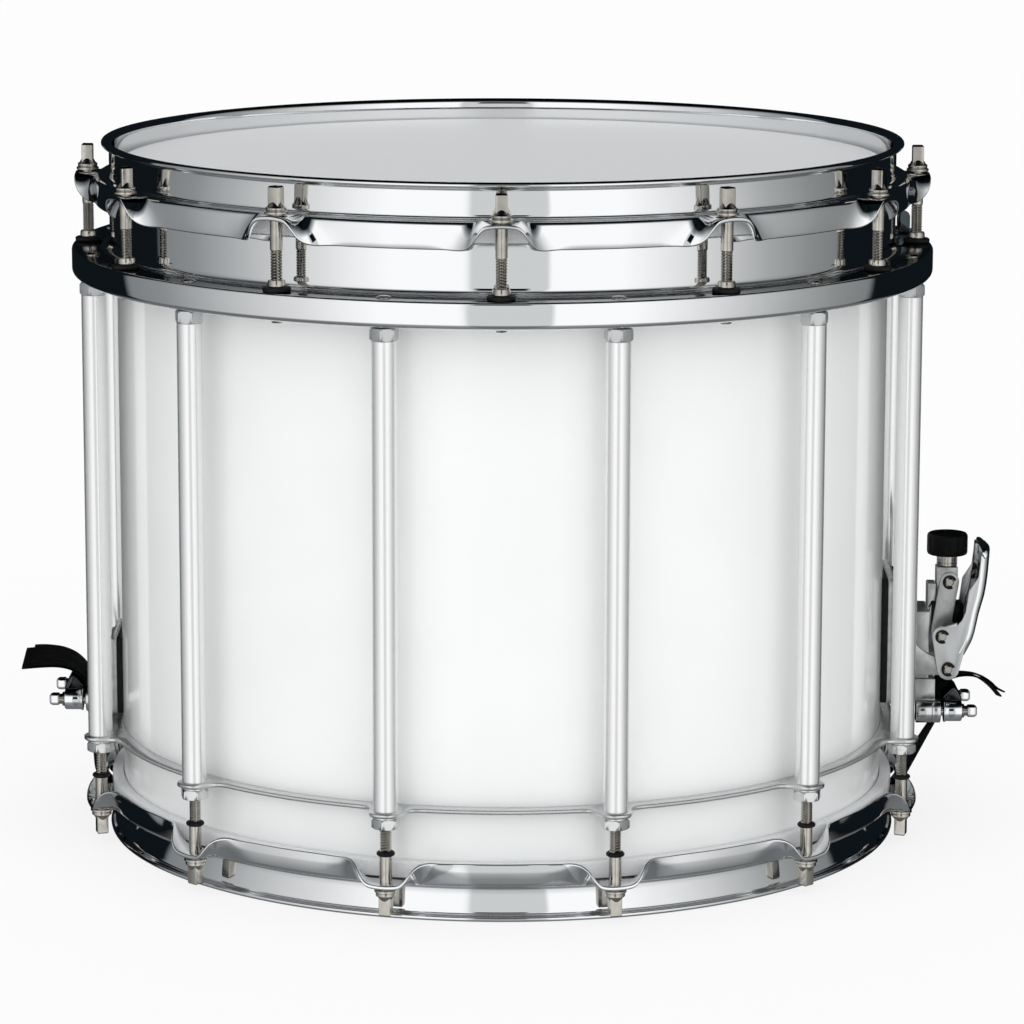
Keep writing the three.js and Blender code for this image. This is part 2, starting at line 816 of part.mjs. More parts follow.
function makeCarriage() {
  const back = columnX;
  const front = columnX + columnDepth;
  const tongueFront = pivotX - yokeBack - fitGap;
  const columnHalfWidth = cheekInside - fitGap;
  const arm = (high, out) => block(
    front - weld,
    out,
    -yokeHalfWidth,
    yokeHalfWidth,
    pivotHeight + armBottom,
    pivotHeight + high,
  );
  const body = join(
    block(back, front, -columnHalfWidth, columnHalfWidth, clampZ, pivotHeight + columnTop),
    arm(armTop, pivotX + armNose),
    arm(tongueTop - overrun, tongueFront),
    block(
      tongueFront - tongueRelief - tongueDepth,
      tongueFront - tongueRelief,
      -yokeHalfWidth,
      yokeHalfWidth,
      pivotHeight + tongueBottom,
      pivotHeight + tongueTop,
    ),
    block(back, back + footDepth, -columnHalfWidth, columnHalfWidth, clampZ, pivotHeight + footTop),
    block(
      back,
      clampFaceX,
      -clampHalfSpacing,
      clampHalfSpacing,
      clampZ - clampBarHalfHeight,
      clampZ + clampBarHalfHeight,
    ),
    postX(back, clampFaceX, -clampHalfSpacing, clampZ, clampBossRadius, smallSides),
    postX(back, clampFaceX, clampHalfSpacing, clampZ, clampBossRadius, smallSides),
  );
  const low = pivotHeight + armBottom - overrun;
  const high = pivotHeight + tongueTop + overrun;
  return cut(body, postZ(knobX, 0, low, high, clearHole(screwRadius), boreSides), ...clampBores(clampFaceX, 1, clampZ));
}

const clampFaceX = pivotX - clampSeat;

// Blind holes for the two clamp screws, cut back from the clamp's seat
function clampBores(faceX, side, z) {
  const low = faceX - clampScrewInset - fitGap;
  const high = faceX + overrun;
  return [-1, 1].map((s) => postX(
    side > 0 ? low : -high,
    side > 0 ? high : -low,
    s * clampHalfSpacing,
    z,
    clearHole(clampScrewRadius),
    boreSides,
  ));
}

// Loose half of a clamp, made for the +X side
function makeClampPlate(faceX, z) {
  const near = faceX + strapThickness + 2 * fitGap;
  const lip = outlineOf(lipShares.map(([u, w]) => [near + u * lipDepth, z + w * lipHeightAboveScrews]));
  const boss = (s) => postX(near, near + clampPlateBossDepth, s * clampHalfSpacing, z, clampPlateBossRadius, smallSides);
  const bar = block(near, near + clampBarDepth, -clampHalfSpacing, clampHalfSpacing, z - clampBarHalfHeight, z + clampBarHalfHeight);
  const bore = (s) => postX(
    near - overrun,
    near + clampPlateBossDepth + overrun,
    s * clampHalfSpacing,
    z,
    clearHole(clampScrewRadius),
    boreSides,
  );
  return cut(join(boss(-1), boss(1), bar, slabY(lip, -clampLipHalfWidth, clampLipHalfWidth)), bore(-1), bore(1));
}

function makeClampScrew(faceX, s, z) {
  const headStart = faceX + strapThickness + 2 * fitGap + clampPlateBossDepth + fitGap;
  const headEnd = headStart + clampScrewHeadLength;
  const y = s * clampHalfSpacing;
  return join(
    postX(faceX - clampScrewInset, headStart + weld, y, z, clampScrewRadius, boreSides),
    block(headStart, headEnd, y - clampScrewHead / 2, y + clampScrewHead / 2, z - clampScrewHead / 2, z + clampScrewHead / 2),
  );
}

// A tape of one thickness from the snare unit out through the gate, up to the clamp and over it, outwards
// on +X. The side is -1 for a piece that is turned half way round afterwards, whose front edge is then
// the other one
function makeStrap(gateEnd, clampRoute, faceX, z, side) {
  const seam = faceX + fitGap + strapThickness / 2 - shellRadius;
  const route = [
    ...[...gateRoute, gateEnd].map(([out, height]) => [out, height, 0]),
    ...clampRoute.map(([out, up, rise]) => [seam + out, z + up, rise]),
  ];
  const rings = route.map(([u, height, frontRise], i) => {
    const before = route[Math.max(i - 1, 0)];
    const after = route[Math.min(i + 1, route.length - 1)];
    const along = new THREE.Vector2(after[0] - before[0], after[1] - before[1]).normalize();
    const half = strapThickness / 2;
    const x = shellRadius + u;
    const rise = (y) => -frontRise * side * y / (strapWidth / 2);
    const corner = (face, y) => [x - face * along.y * half, y, height + face * along.x * half + rise(y)];
    return [
      corner(1, -strapWidth / 2),
      corner(1, strapWidth / 2),
      corner(-1, strapWidth / 2),
      corner(-1, -strapWidth / 2),
    ];
  });
  const index = [];
  for (let i = 0; i < rings.length - 1; i += 1) {
    for (let j = 0; j < 4; j += 1) {
      const k = (j + 1) % 4;
      index.push(4 * i + j, 4 * i + 4 + k, 4 * i + k, 4 * i + j, 4 * i + 4 + j, 4 * i + 4 + k);
    }
  }
  const last = 4 * (rings.length - 1);
  index.push(0, 1, 2, 0, 2, 3, last, last + 2, last + 1, last, last + 3, last + 2);
  const geometry = new THREE.BufferGeometry();
  geometry.setAttribute('position', new THREE.Float32BufferAttribute(rings.flat(2), 3));
  geometry.setIndex(index);
  return solidOf(geometry);
}

function makeKnob() {
  const low = pivotHeight + knobRise;
  const high = low + knobHeight;
  const collarLow = low - knobCollarHeight;
  return revolve([
    [0, pivotHeight + screwTipRise],
    [screwRadius, pivotHeight + screwTipRise],
    [screwRadius, collarLow],
    [knobCollarRadius, collarLow],
    [knobCollarRadius, low],
    [knobRadius - knobRound, low],
    [knobRadius, low + knobRound],
    [knobRadius, high - knobRound],
    [knobRadius - knobRound, high],
    [0, high],
  ], knobSides).translate([knobX, 0, 0]);
}

function placeStrainer() {
  place('strainer_base', makeStrainerBase(), finishes.castAluminium);
  place('strainer_lever', makeLever(), finishes.chrome);
  place('strainer_link', makeLink(), finishes.steel);
  place('strainer_yoke', makeYoke(), finishes.castAluminium);
  place('tension_knob', makeKnob(), finishes.knobPlastic);
  place('strap_carriage', makeCarriage(), finishes.castAluminium);
  place('strainer_clamp', makeClampPlate(clampFaceX, clampZ), finishes.chrome);
  place('strainer_screw_front', makeClampScrew(clampFaceX, -1, clampZ), finishes.chrome);
  place('strainer_screw_rear', makeClampScrew(clampFaceX, 1, clampZ), finishes.chrome);
  place('strainer_strap', makeStrap(strainerGateEnd, strainerClampRoute, clampFaceX, clampZ, 1), finishes.webbing);
}

// Butt: the same clamp on a fixed bracket, made on +X and turned half way round

function makeButtBody() {
  const face = shellRadius + buttReach;
  const boss = (s) => postX(
    shellRadius + buttPlateWall - weld,
    face,
    s * clampHalfSpacing,
    buttHeight,
    clampBossRadius,
    smallSides,
  );
  const bar = block(
    shellRadius + buttPlateWall - weld,
    face,
    -clampHalfSpacing,
    clampHalfSpacing,
    buttHeight - buttBlockHalfHeight,
    buttHeight + buttBlockHalfHeight,
  );
  const plate = saddle(
    1,
    shellRadius + buttPlateWall,
    buttPlateHalfWidth,
    buttHeight - buttPlateDrop,
    buttHeight + buttPlateRise,
  );
  return cut(join(plate, boss(-1), boss(1), bar), ...clampBores(face, 1, buttHeight));
}

function placeButt() {
  const side = new THREE.Group();
  side.rotation.z = Math.PI;
  drum.add(side);
  const face = shellRadius + buttReach;
  place('butt_body', makeButtBody(), finishes.castAluminium, side);
  place('butt_clamp', makeClampPlate(face, buttHeight), finishes.chrome, side);
  place('butt_screw_front', makeClampScrew(face, 1, buttHeight), finishes.chrome, side);
  place('butt_screw_rear', makeClampScrew(face, -1, buttHeight), finishes.chrome, side);
  place('butt_strap', makeStrap(buttGateEnd, buttClampRoute, face, buttHeight, -1), finishes.webbing, side);
}

// Snare unit under the lower head

function makeSnareUnit() {
  const z = headRecess - fitGap - strandRadius;
  const plateTop = headRecess - fitGap;
  const span = (strandCount - 1) * strandPitch;
  const halfWidth = span / 2 + snarePlateMargin;
  const reach = snareHalfLength - snarePlateLength + weld;
  const pieces = [
    block(-snareHalfLength, snarePlateLength - snareHalfLength, -halfWidth, halfWidth, plateTop - snarePlateThickness, plateTop),
    block(snareHalfLength - snarePlateLength, snareHalfLength, -halfWidth, halfWidth, plateTop - snarePlateThickness, plateTop),
  ];
  for (let i = 0; i < strandCount; i += 1) {
    pieces.push(postX(-reach, reach, i * strandPitch - span / 2, z, strandRadius, 5));
  }
  return join(...pieces);
}

// Carrier tab

function placeTab() {
  const low = ringHigh + fitGap;
  const upright = new THREE.Shape();
  const centre = rodPitchRadius;
  upright.moveTo(centre - tabWidth / 2, low);
  upright.lineTo(centre + tabWidth / 2, low);
  upright.lineTo(centre + tabWidth / 2, low + tabHeight - tabWidth / 2);
  upright.absarc(centre, low + tabHeight - tabWidth / 2, tabWidth / 2, 0, Math.PI, false);
  const solid = join(
    block(centre - tabFootLength / 2, centre + tabFootLength / 2, 0, tabFootWidth, low, low + tabSheet),
    slabY(upright, 0, tabSheet, 6),
  );
  const side = new THREE.Group();
  side.rotation.z = radians(tabAngle - 90);
  drum.add(side);
  place('carrier_tab', solid, finishes.chrome, side);
}

place('shell', makeShell(), finishes.lacquer);
place('top_ring', makeTopRing(), finishes.chrome);
place('bottom_ring', makeBottomRing(), finishes.milledSteel);
place('top_hoop', makeHoop(0, true), finishes.chrome);
place('bottom_hoop', makeLowerHoop(), finishes.chrome);
place('batter_head', makeHead(true), finishes.film);
place('snare_head', makeHead(false), finishes.film);
place('snare_unit', makeSnareUnit(), finishes.gut);
placeRods();
placeRound('lug_tube', makeTube(), finishes.aluminium, pitchAngle / 2);
placeStrainer();
placeButt();
placeTab();

export default drum;
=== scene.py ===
# Marching snare drum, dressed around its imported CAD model.
# Sizes are millimetres, with heights counted from the plane that the lower rim stands on.
# The frame's origin is the middle of the batter head, so every height drops by PLAY_HEIGHT.
import math

import bmesh
import bpy
from mathutils import Matrix, Vector


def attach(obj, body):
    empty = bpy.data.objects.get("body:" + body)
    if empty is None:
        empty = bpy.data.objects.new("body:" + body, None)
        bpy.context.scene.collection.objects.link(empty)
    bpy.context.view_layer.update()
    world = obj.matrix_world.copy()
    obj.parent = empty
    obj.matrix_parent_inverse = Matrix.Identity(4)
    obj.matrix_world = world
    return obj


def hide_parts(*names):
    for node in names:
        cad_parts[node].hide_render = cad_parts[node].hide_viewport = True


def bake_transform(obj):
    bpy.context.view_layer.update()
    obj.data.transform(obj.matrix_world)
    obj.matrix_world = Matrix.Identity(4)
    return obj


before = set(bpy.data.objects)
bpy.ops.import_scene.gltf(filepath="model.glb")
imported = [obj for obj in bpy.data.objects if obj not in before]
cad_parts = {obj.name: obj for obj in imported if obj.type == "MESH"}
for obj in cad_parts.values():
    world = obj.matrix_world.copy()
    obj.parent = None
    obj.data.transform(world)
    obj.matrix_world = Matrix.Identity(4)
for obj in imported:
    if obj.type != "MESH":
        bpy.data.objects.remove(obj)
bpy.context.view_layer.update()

# Sizes that the CAD model also has

MM = 0.001
PLAY_HEIGHT = 311.8
RIM_HIGH = 321.2
SHELL_RADIUS = 177.8
SHELL_WALL = 7
SHELL_LOW = 10
SHELL_HIGH = 311.2
BEARING_CUT = 4
BEARING_RISE = 6
FILM = 0.3
HEAD_RECESS = 9.4
FLESH_LOW = 18.1
FLESH_HEIGHT = 7.5
FLESH_RADIUS = 183.2
COLLAR_INNER = 178.7
ROD_PITCH = 191.2
ROD_COUNT = 12
PITCH_ANGLE = 360 / ROD_COUNT
SLEEVE_INNER = 178.1
SLEEVE_OUTER = 180.8
SLEEVE_HIGH = 295.3
RING_HIGH = 272.7
RING_LOW = 260.6
RING_RADIUS = 198.2
PLATE_LOW = 48.1
PLATE_HIGH = 50.1
PIVOT = (208.6, 74.1)
STRAINER_CLAMP = (205.2, 54.2)
BUTT_CLAMP = (194.2, 59)
SCREW_SPREAD = 16

# Forms: lists of points in millimetres, and faces over them

# A softened edge: how much of its size it stands in, and how far down the side, at each step
BEVEL = ((1, 0), (0.3, 0.3), (0, 1))
# The most of a side that one rounded corner takes, and the sharpest mitre of an inset outline
CORNER_SHARE = 0.49
MITRE = 0.5
# Rings to one turn of a thread
THREAD_STEPS = 4


def arc(centre, radius, start, end, steps):
    """Points on a circle, between two angles in degrees."""
    found = []
    for i in range(steps + 1):
        a = math.radians(start + (end - start) * i / steps)
        found.append((centre[0] + radius * math.cos(a), centre[1] + radius * math.sin(a)))
    return found


def rounded(corners, steps=5):
    """A closed outline from corners (u, w, radius), each corner turned with its own radius."""
    found = []
    count = len(corners)
    for i, (u, w, radius) in enumerate(corners):
        here = Vector((u, w))
        before = Vector(corners[i - 1][:2]) - here
        after = Vector(corners[(i + 1) % count][:2]) - here
        if radius <= 0:
            found.append((u, w))
            continue
        half = before.angle(after) / 2
        longest = CORNER_SHARE * min(before.length, after.length)
        reach = min(radius / math.tan(half), longest)
        start = here + before.normalized() * reach
        end = here + after.normalized() * reach
        for step in range(steps + 1):
            t = step / steps
            point = start * (1 - t) ** 2 + here * (2 * t * (1 - t)) + end * t**2
            found.append((point.x, point.y))
    return found


def inset(outline, distance):
    """The outline moved inwards by a small distance."""
    count = len(outline)
    area = 0
    for (u0, w0), (u1, w1) in zip([outline[-1]] + outline[:-1], outline):
        area += u0 * w1 - u1 * w0
    side = 1 if area > 0 else -1
    found = []
    for i in range(count):
        here = Vector(outline[i])
        first = (here - Vector(outline[i - 1])).normalized()
        second = (Vector(outline[(i + 1) % count]) - here).normalized()
        bisector = first + second
        if bisector.length < 1e-6:
            bisector = first
        bisector.normalize()
        normal = Vector((-bisector.y, bisector.x)) * side
        stretch = max(MITRE, abs(bisector.dot(first)))
        moved = here + normal * distance / stretch
        found.append((moved.x, moved.y))
    return found


def skin(rings, closed=False):
    """One surface over rings that have as many points each, capped at both ends unless closed."""
    count = len(rings[0])
    points = [point for ring in rings for point in ring]
    faces = []
    for i in range(len(rings) if closed else len(rings) - 1):
        j = (i + 1) % len(rings)
        for k in range(count):
            m = (k + 1) % count
            faces.append((i * count + k, i * count + m, j * count + m, j * count + k))
    if not closed:
        faces.append(tuple(reversed(range(count))))
        faces.append(tuple(range((len(rings) - 1) * count, len(rings) * count)))
    return points, faces


def along(axis, u, w, depth):
    """A point from two coordinates across an axis and one along it."""
    return {"x": (depth, u, w), "y": (u, depth, w), "z": (u, w, depth)}[axis]


def turned(profile, sides=32, axis="z", at=(0, 0), shape=None):
    """A solid turned about an axis from (radius, height) points. The shape function, where there
    is one, gives the radius from the profile's radius, the height and the angle."""
    rings = []
    for radius, height in profile:
        ring = []
        for i in range(sides):
            a = 2 * math.pi * i / sides
            r = shape(radius, height, a) if shape else radius
            ring.append(along(axis, at[0] + r * math.cos(a), at[1] + r * math.sin(a), height))
        rings.append(ring)
    return skin(rings)


def hooped(section, angles):
    """A ring round the drum. The section function gives (radius, height) points at an angle in
    degrees, counted from the front."""
    rings = []
    for angle in angles:
        a = math.radians(angle)
        rings.append([(r * math.sin(a), -r * math.cos(a), z) for r, z in section(angle)])
    return skin(rings, closed=True)


def plain_hoop(section, sides=360):
    """A ring whose section is the same all round."""
    return hooped(lambda angle: section, [360 * i / sides for i in range(sides)])


def split(form, count, chosen):
    """A hoop's form as two over the same points: chosen places of its section, and the rest."""
    points, faces = form
    picked = [face for i, face in enumerate(faces) if i % count in chosen]
    others = [face for i, face in enumerate(faces) if i % count not in chosen]
    return (points, picked), (points, others)


def plate(outline, low, high, edge=0.3, axis="y"):
    """A flat piece from its outline, with softened edges."""
    steps = [(share, low + drop * edge) for share, drop in BEVEL]
    steps += [(share, high - drop * edge) for share, drop in reversed(BEVEL)]
    rings = []
    for share, depth in steps:
        rings.append([along(axis, u, w, depth) for u, w in inset(outline, share * edge)])
    return skin(rings)


def block(x, y, z, radius=0.4, axis="z", edge=0.3):
    """A box between pairs of limits, its corners round about one axis."""
    spans = {"x": (y, z, x), "y": (x, z, y), "z": (x, y, z)}[axis]
    (u0, u1), (w0, w1), (low, high) = spans
    outline = rounded([(u0, w0, radius), (u1, w0, radius), (u1, w1, radius), (u0, w1, radius)])
    return plate(outline, low, high, edge, axis)


def peg(radius, low, high, axis="z", at=(0, 0), edge=0.3, sides=32):
    """A short round bar with softened ends."""
    profile = [(radius - share * edge, low + drop * edge) for share, drop in BEVEL]
    profile += [(radius - share * edge, high - drop * edge) for share, drop in reversed(BEVEL)]
    return turned(profile, sides, axis, at)


def moved(form, shift=(0, 0, 0), turn=0, flip=False):
    """A copy of a form, flipped end for end if asked, shifted, then turned in degrees about the
    drum's axis."""
    points, faces = form
    a = math.radians(turn)
    found = []
    for x, y, z in points:
        x, y, z = x + shift[0], y + shift[1], (-z if flip else z) + shift[2]
        found.append((x * math.cos(a) - y * math.sin(a), x * math.sin(a) + y * math.cos(a), z))
    return found, faces


def joined(*forms):
    """Several forms as one."""
    points = []
    faces = []
    for more, over in forms:
        start = len(points)
        points += more
        faces += [tuple(start + i for i in face) for face in over]
    return points, faces


def both_sides(make):
    """The forms that a function makes for the near side, -1, and the far side, 1, as one."""
    return joined(make(-1), make(1))


def span(a, b):
    """Two limits in rising order."""
    return (min(a, b), max(a, b))


def thread(radius, pitch, low, high, depth, sides=20):
    """A screw thread: rings a part of a turn apart, whose radius follows the helix."""
    steps = round((high - low) / pitch * THREAD_STEPS)
    profile = [(radius, low + (high - low) * i / steps) for i in range(steps + 1)]

    def ridge(r, height, angle):
        phase = (height / pitch - angle / (2 * math.pi)) % 1
        return r - depth * abs(2 * phase - 1)

    return turned(profile, sides, shape=ridge)


def hexagon(across, low, high, chamfer=0.7, sides=72, axis="z", at=(0, 0)):
    """A nut: six flats cut by a cone at each end."""
    flat = across / 2
    half_face = math.pi / 6
    corner = flat / math.cos(half_face)
    flank = flat + 0.15
    burr = (0.3, 0.12)
    profile = [
        (flank - burr[0], low),
        (flank, low + burr[1]),
        (corner, low + chamfer),
        (corner, high - chamfer),
        (flank, high - burr[1]),
        (flank - burr[0], high),
    ]

    def flats(r, height, angle):
        off = (angle + half_face) % (2 * half_face) - half_face
        return min(r, flat / math.cos(off))

    return turned(profile, sides, axis, at, flats)


# Finishes: node helpers

# The part of a noise pattern's strength that most of it lies in
PATTERN_MIDDLE = (0.3, 0.7)


def srgb(code):
    """A colour socket's value from an sRGB hex code."""
    found = []
    for i in (0, 2, 4):
        c = int(code[i : i + 2], 16) / 255
        found.append(c / 12.92 if c <= 0.04045 else ((c + 0.055) / 1.055) ** 2.4)
    return (*found, 1)


def add(tree, kind, inputs=None, **settings):
    """Adds one node with its settings, and with a value or a link for each socket named."""
    node = tree.nodes.new(kind)
    for key, value in settings.items():
        setattr(node, key, value)
    for key, value in (inputs or {}).items():
        if isinstance(value, bpy.types.NodeSocket):
            tree.links.new(value, node.inputs[key])
        else:
            node.inputs[key].default_value = value
    return node


def surface(name, colour, metallic, roughness, **sockets):
    """A new finish, with its node tree, its shader and the place in metres on the piece."""
    made = bpy.data.materials.new(name)
    made.use_nodes = True
    tree = made.node_tree
    shader = tree.nodes["Principled BSDF"]
    shader.inputs["Base Color"].default_value = srgb(colour)
    shader.inputs["Metallic"].default_value = metallic
    shader.inputs["Roughness"].default_value = roughness
    for key, value in sockets.items():
        shader.inputs[key.replace("_", " ")].default_value = value
    place = add(tree, "ShaderNodeTexCoord").outputs["Object"]
    return made, tree, shader, place


def per_grain(size):
    """The scale of a noise or cell texture whose grain is this many millimetres."""
    return 1 / (size * MM)


def per_band(spacing, diagonal=False):
    """The scale of a wave texture whose bands are this many millimetres apart along an axis. The
    texture runs through 20 radians in each unit of scaled length, or 10 on the diagonal."""
    radians = 10 if diagonal else 20
    return 2 * math.pi / (radians * spacing * MM)


def ramp(tree, factor, stops):
    """A colour ramp from (position, hex code) stops."""
    node = add(tree, "ShaderNodeValToRGB", {"Fac": factor})
    while len(node.color_ramp.elements) < len(stops):
        node.color_ramp.elements.new(0.5)
    for element, (position, code) in zip(node.color_ramp.elements, stops):
        element.position = position
        element.color = srgb(code)
    return node.outputs["Color"]


def noise(tree, place, grain, detail=2.0):
    """A cloudy pattern whose grain is this many millimetres."""
    inputs = {"Vector": place, "Scale": per_grain(grain), "Detail": detail}
    return add(tree, "ShaderNodeTexNoise", inputs).outputs["Fac"]


def uneven(tree, shader, socket, factor, low, high):
    """Lets a socket run between two values with a pattern, over the middle of its strength."""
    inputs = {"Value": factor, "To Min": low, "To Max": high}
    inputs["From Min"], inputs["From Max"] = PATTERN_MIDDLE
    mapped = add(tree, "ShaderNodeMapRange", inputs)
    tree.links.new(mapped.outputs["Result"], shader.inputs[socket])


def tinted(tree, shader, factor, first, second):
    """Lets the base colour run between two hex codes with a pattern, over the same middle."""
    low, high = PATTERN_MIDDLE
    tint = ramp(tree, factor, [(low, first), (high, second)])
    tree.links.new(tint, shader.inputs["Base Color"])


def raised(tree, shader, height, distance, strength=1.0, socket="Normal"):
    """Lets a pattern stand up from the surface by a distance in millimetres."""
    inputs = {"Height": height, "Distance": distance * MM, "Strength": strength}
    bump = add(tree, "ShaderNodeBump", inputs)
    tree.links.new(bump.outputs["Normal"], shader.inputs[socket])


def stretched(tree, place, scale):
    """The place with its axes scaled, so that a pattern runs out along one of them."""
    return add(tree, "ShaderNodeMapping", {"Vector": place, "Scale": scale}).outputs["Vector"]


# Finishes of this drum


def chrome_plate():
    # Polished steel plated with chromium: a mirror with a cold tint and a faint press wave
    made, tree, shader, place = surface("chrome_plate", "eaebec", 1, 0.035)
    wave = noise(tree, place, 22, 1.0)
    raised(tree, shader, wave, 0.02, 0.03)
    uneven(tree, shader, "Roughness", noise(tree, place, 9, 3.0), 0.02, 0.06)
    return made


def deck_painted_reflection():
    # The ring's deck: a mirror with a dark blue grey base, a painted reflection of the dark
    # overhead; it mirrors the rods in that tone
    made, tree, shader, place = surface("deck_painted_reflection", "41484c", 1, 0.08)
    lines = noise(tree, place, 3, 2.0)
    uneven(tree, shader, "Roughness", lines, 0.06, 0.12)
    return made


def polished_alloy():
    # Die-cast zinc alloy, polished and plated: a soft mirror
    made, tree, shader, place = surface("polished_alloy", "d3d4d4", 1, 0.14)
    cloud = noise(tree, place, 2.5, 3.0)
    uneven(tree, shader, "Roughness", cloud, 0.1, 0.2)
    raised(tree, shader, cloud, 0.04, 0.4)
    return made


def satin_chrome():
    # Die-cast zinc alloy under satin chromium: soft grey with a fine even grain
    made, tree, shader, place = surface("satin_chrome", "cccecf", 0.9, 0.34)
    grain = noise(tree, place, 0.5, 2.0)
    raised(tree, shader, grain, 0.02, 0.5)
    uneven(tree, shader, "Roughness", grain, 0.3, 0.4)
    return made


def cast_alloy():
    # Die-cast aluminium alloy, tumbled: light grey, pitted by the mould
    made, tree, shader, place = surface("cast_alloy", "bcbdbd", 0.85, 0.36)
    grain = noise(tree, place, 0.8, 3.0)
    raised(tree, shader, grain, 0.06, 0.7)
    uneven(tree, shader, "Roughness", grain, 0.3, 0.44)
    tinted(tree, shader, noise(tree, place, 5, 2.0), "b0b1b1", "c8c9c9")
    return made


def drawn_aluminium():
    # Aluminium tube, drawn, silk anodised and sealed: milky, with faint draw lines along it
    made, tree, shader, place = surface("drawn_aluminium", "efefef", 0.75, 0.18)
    lines = noise(tree, stretched(tree, place, (1, 1, 0.02)), 0.35, 2.0)
    raised(tree, shader, lines, 0.003, 0.15)
    uneven(tree, shader, "Roughness", lines, 0.16, 0.2)
    return made


def nickel_steel():
    # Carbon steel rod plated with nickel: a warm grey metal with fine turning marks round it
    made, tree, shader, place = surface("nickel_steel", "b4afa7", 1, 0.12)
    marks = noise(tree, stretched(tree, place, (0.05, 0.05, 1)), 0.3, 2.0)
    raised(tree, shader, marks, 0.01, 0.5)
    uneven(tree, shader, "Roughness", marks, 0.08, 0.18)
    tinted(tree, shader, noise(tree, place, 6, 2.0), "a9a59d", "c4c0b8")
    return made


def milled_steel():
    # Steel plate, blanked and nickel plated: pale satin with a short grain
    made, tree, shader, place = surface("milled_steel", "dcdddd", 1, 0.34)
    grain = noise(tree, stretched(tree, place, (1, 1, 4)), 0.6, 3.0)
    raised(tree, shader, grain, 0.02, 0.5)
    uneven(tree, shader, "Roughness", grain, 0.25, 0.38)
    return made


def lip_painted_reflection():
    # Steel jaw lip, dark grey with a low sheen: the dark grey is a painted reflection of the dark
    # overhead
    made, tree, shader, place = surface("lip_painted_reflection", "4a4c4f", 1, 0.36)
    cloud = noise(tree, place, 4, 3.0)
    uneven(tree, shader, "Roughness", cloud, 0.3, 0.44)
    raised(tree, shader, noise(tree, place, 0.7, 2.0), 0.02, 0.4)
    return made


def rubber():
    # Moulded nitrile rubber: matt black with a dusty bloom
    made, tree, shader, place = surface(
        "moulded_rubber", "101112", 0, 0.6, Specular_IOR_Level=0.25
    )
    grain = noise(tree, place, 0.6, 3.0)
    raised(tree, shader, grain, 0.04, 0.6)
    uneven(tree, shader, "Roughness", noise(tree, place, 3, 2.0), 0.5, 0.72)
    return made


def knob_plastic():
    # Moulded black ABS with a fine sparked texture from its mould
    made, tree, shader, place = surface("moulded_abs", "060707", 0, 0.4, Specular_IOR_Level=0.1)
    grain = noise(tree, place, 0.35, 2.0)
    raised(tree, shader, grain, 0.03, 0.6)
    uneven(tree, shader, "Roughness", grain, 0.4, 0.54)
    return made


def webbing():
    # Woven polyester tape: picks 0.9 mm apart, and ribs along it that are drawn 4.4 mm apart,
    # coarser than real ones, so that they show
    made, tree, shader, place = surface(
        "woven_polyester", "08090a", 0, 0.8, Specular_IOR_Level=0.1
    )
    lines = {"Vector": place, "Scale": per_band(4.4), "Distortion": 0.4, "Detail": 1.0}
    ribs = add(tree, "ShaderNodeTexWave", lines, bands_direction="Y").outputs["Fac"]
    cells = {"Vector": place, "Scale": per_grain(0.9)}
    grain = add(tree, "ShaderNodeTexVoronoi", cells).outputs["Distance"]
    both = add(tree, "ShaderNodeMath", {0: ribs, 1: grain}, operation="ADD").outputs["Value"]
    raised(tree, shader, both, 0.12, 0.8)
    tint = ramp(tree, grain, [(0.0, "131416"), (0.6, "060708")])
    tree.links.new(tint, shader.inputs["Base Color"])
    return made


def white_lacquer():
    # White polyester lacquer over maple ply, buffed: deep gloss with a hint of orange peel
    made, tree, shader, place = surface(
        "white_lacquer", "f3f5f5", 0, 0.3, Coat_Weight=0.8, Coat_Roughness=0.03, Coat_IOR=1.5
    )
    raised(tree, shader, noise(tree, place, 4, 1.0), 0.01, 0.35, "Coat Normal")
    tinted(tree, shader, noise(tree, place, 60, 2.0), "f2f4f4", "f6f7f7")
    return made


def maple_ply():
    # Bare maple on the inside: pale wood with its grain round the tube
    made, tree, shader, place = surface("maple_ply", "d9bd92", 0, 0.6)
    grain = noise(tree, stretched(tree, place, (0.15, 0.15, 1)), 1.4, 4.0)
    tinted(tree, shader, grain, "c9a876", "e3cba5")
    raised(tree, shader, grain, 0.05, 0.4)
    return made


def frosted_film():
    # Polyester drumhead film with a sprayed frosting: pale grey, softly matt
    made, tree, shader, place = surface("frosted_film", "e8e9eb", 0, 0.4)
    frost = noise(tree, place, 1.2, 4.0)
    raised(tree, shader, frost, 0.02, 0.6)
    uneven(tree, shader, "Roughness", frost, 0.34, 0.5)
    tinted(tree, shader, frost, "e3e5e7", "edeeef")
    return made


def gut_cable():
    # Coated snare cable: off-white with a twist every 1.6 mm
    made, tree, shader, place = surface("coated_cable", "d9d6cc", 0, 0.4)
    lines = {"Vector": place, "Scale": per_band(1.6, diagonal=True), "Distortion": 0.0}
    twist = add(tree, "ShaderNodeTexWave", lines, bands_direction="DIAGONAL").outputs["Fac"]
    raised(tree, shader, twist, 0.1, 0.8)
    return made


CHROME = chrome_plate()
SATIN = satin_chrome()
DECK_PAINTED_DARK = deck_painted_reflection()
POLISHED = polished_alloy()
CAST = cast_alloy()
TUBE = drawn_aluminium()
STEEL = nickel_steel()
MILLED = milled_steel()
RUBBER = rubber()
LIP_PAINTED_DARK = lip_painted_reflection()
KNOB = knob_plastic()
WEBBING = webbing()
LACQUER = white_lacquer()
MAPLE = maple_ply()
FROSTED = frosted_film()
GUT = gut_cable()


def in_metres(points):
    """Points in the frame's own measure, from millimetres over the floor."""
    return [(x * MM, y * MM, (z - PLAY_HEIGHT) * MM) for x, y, z in points]


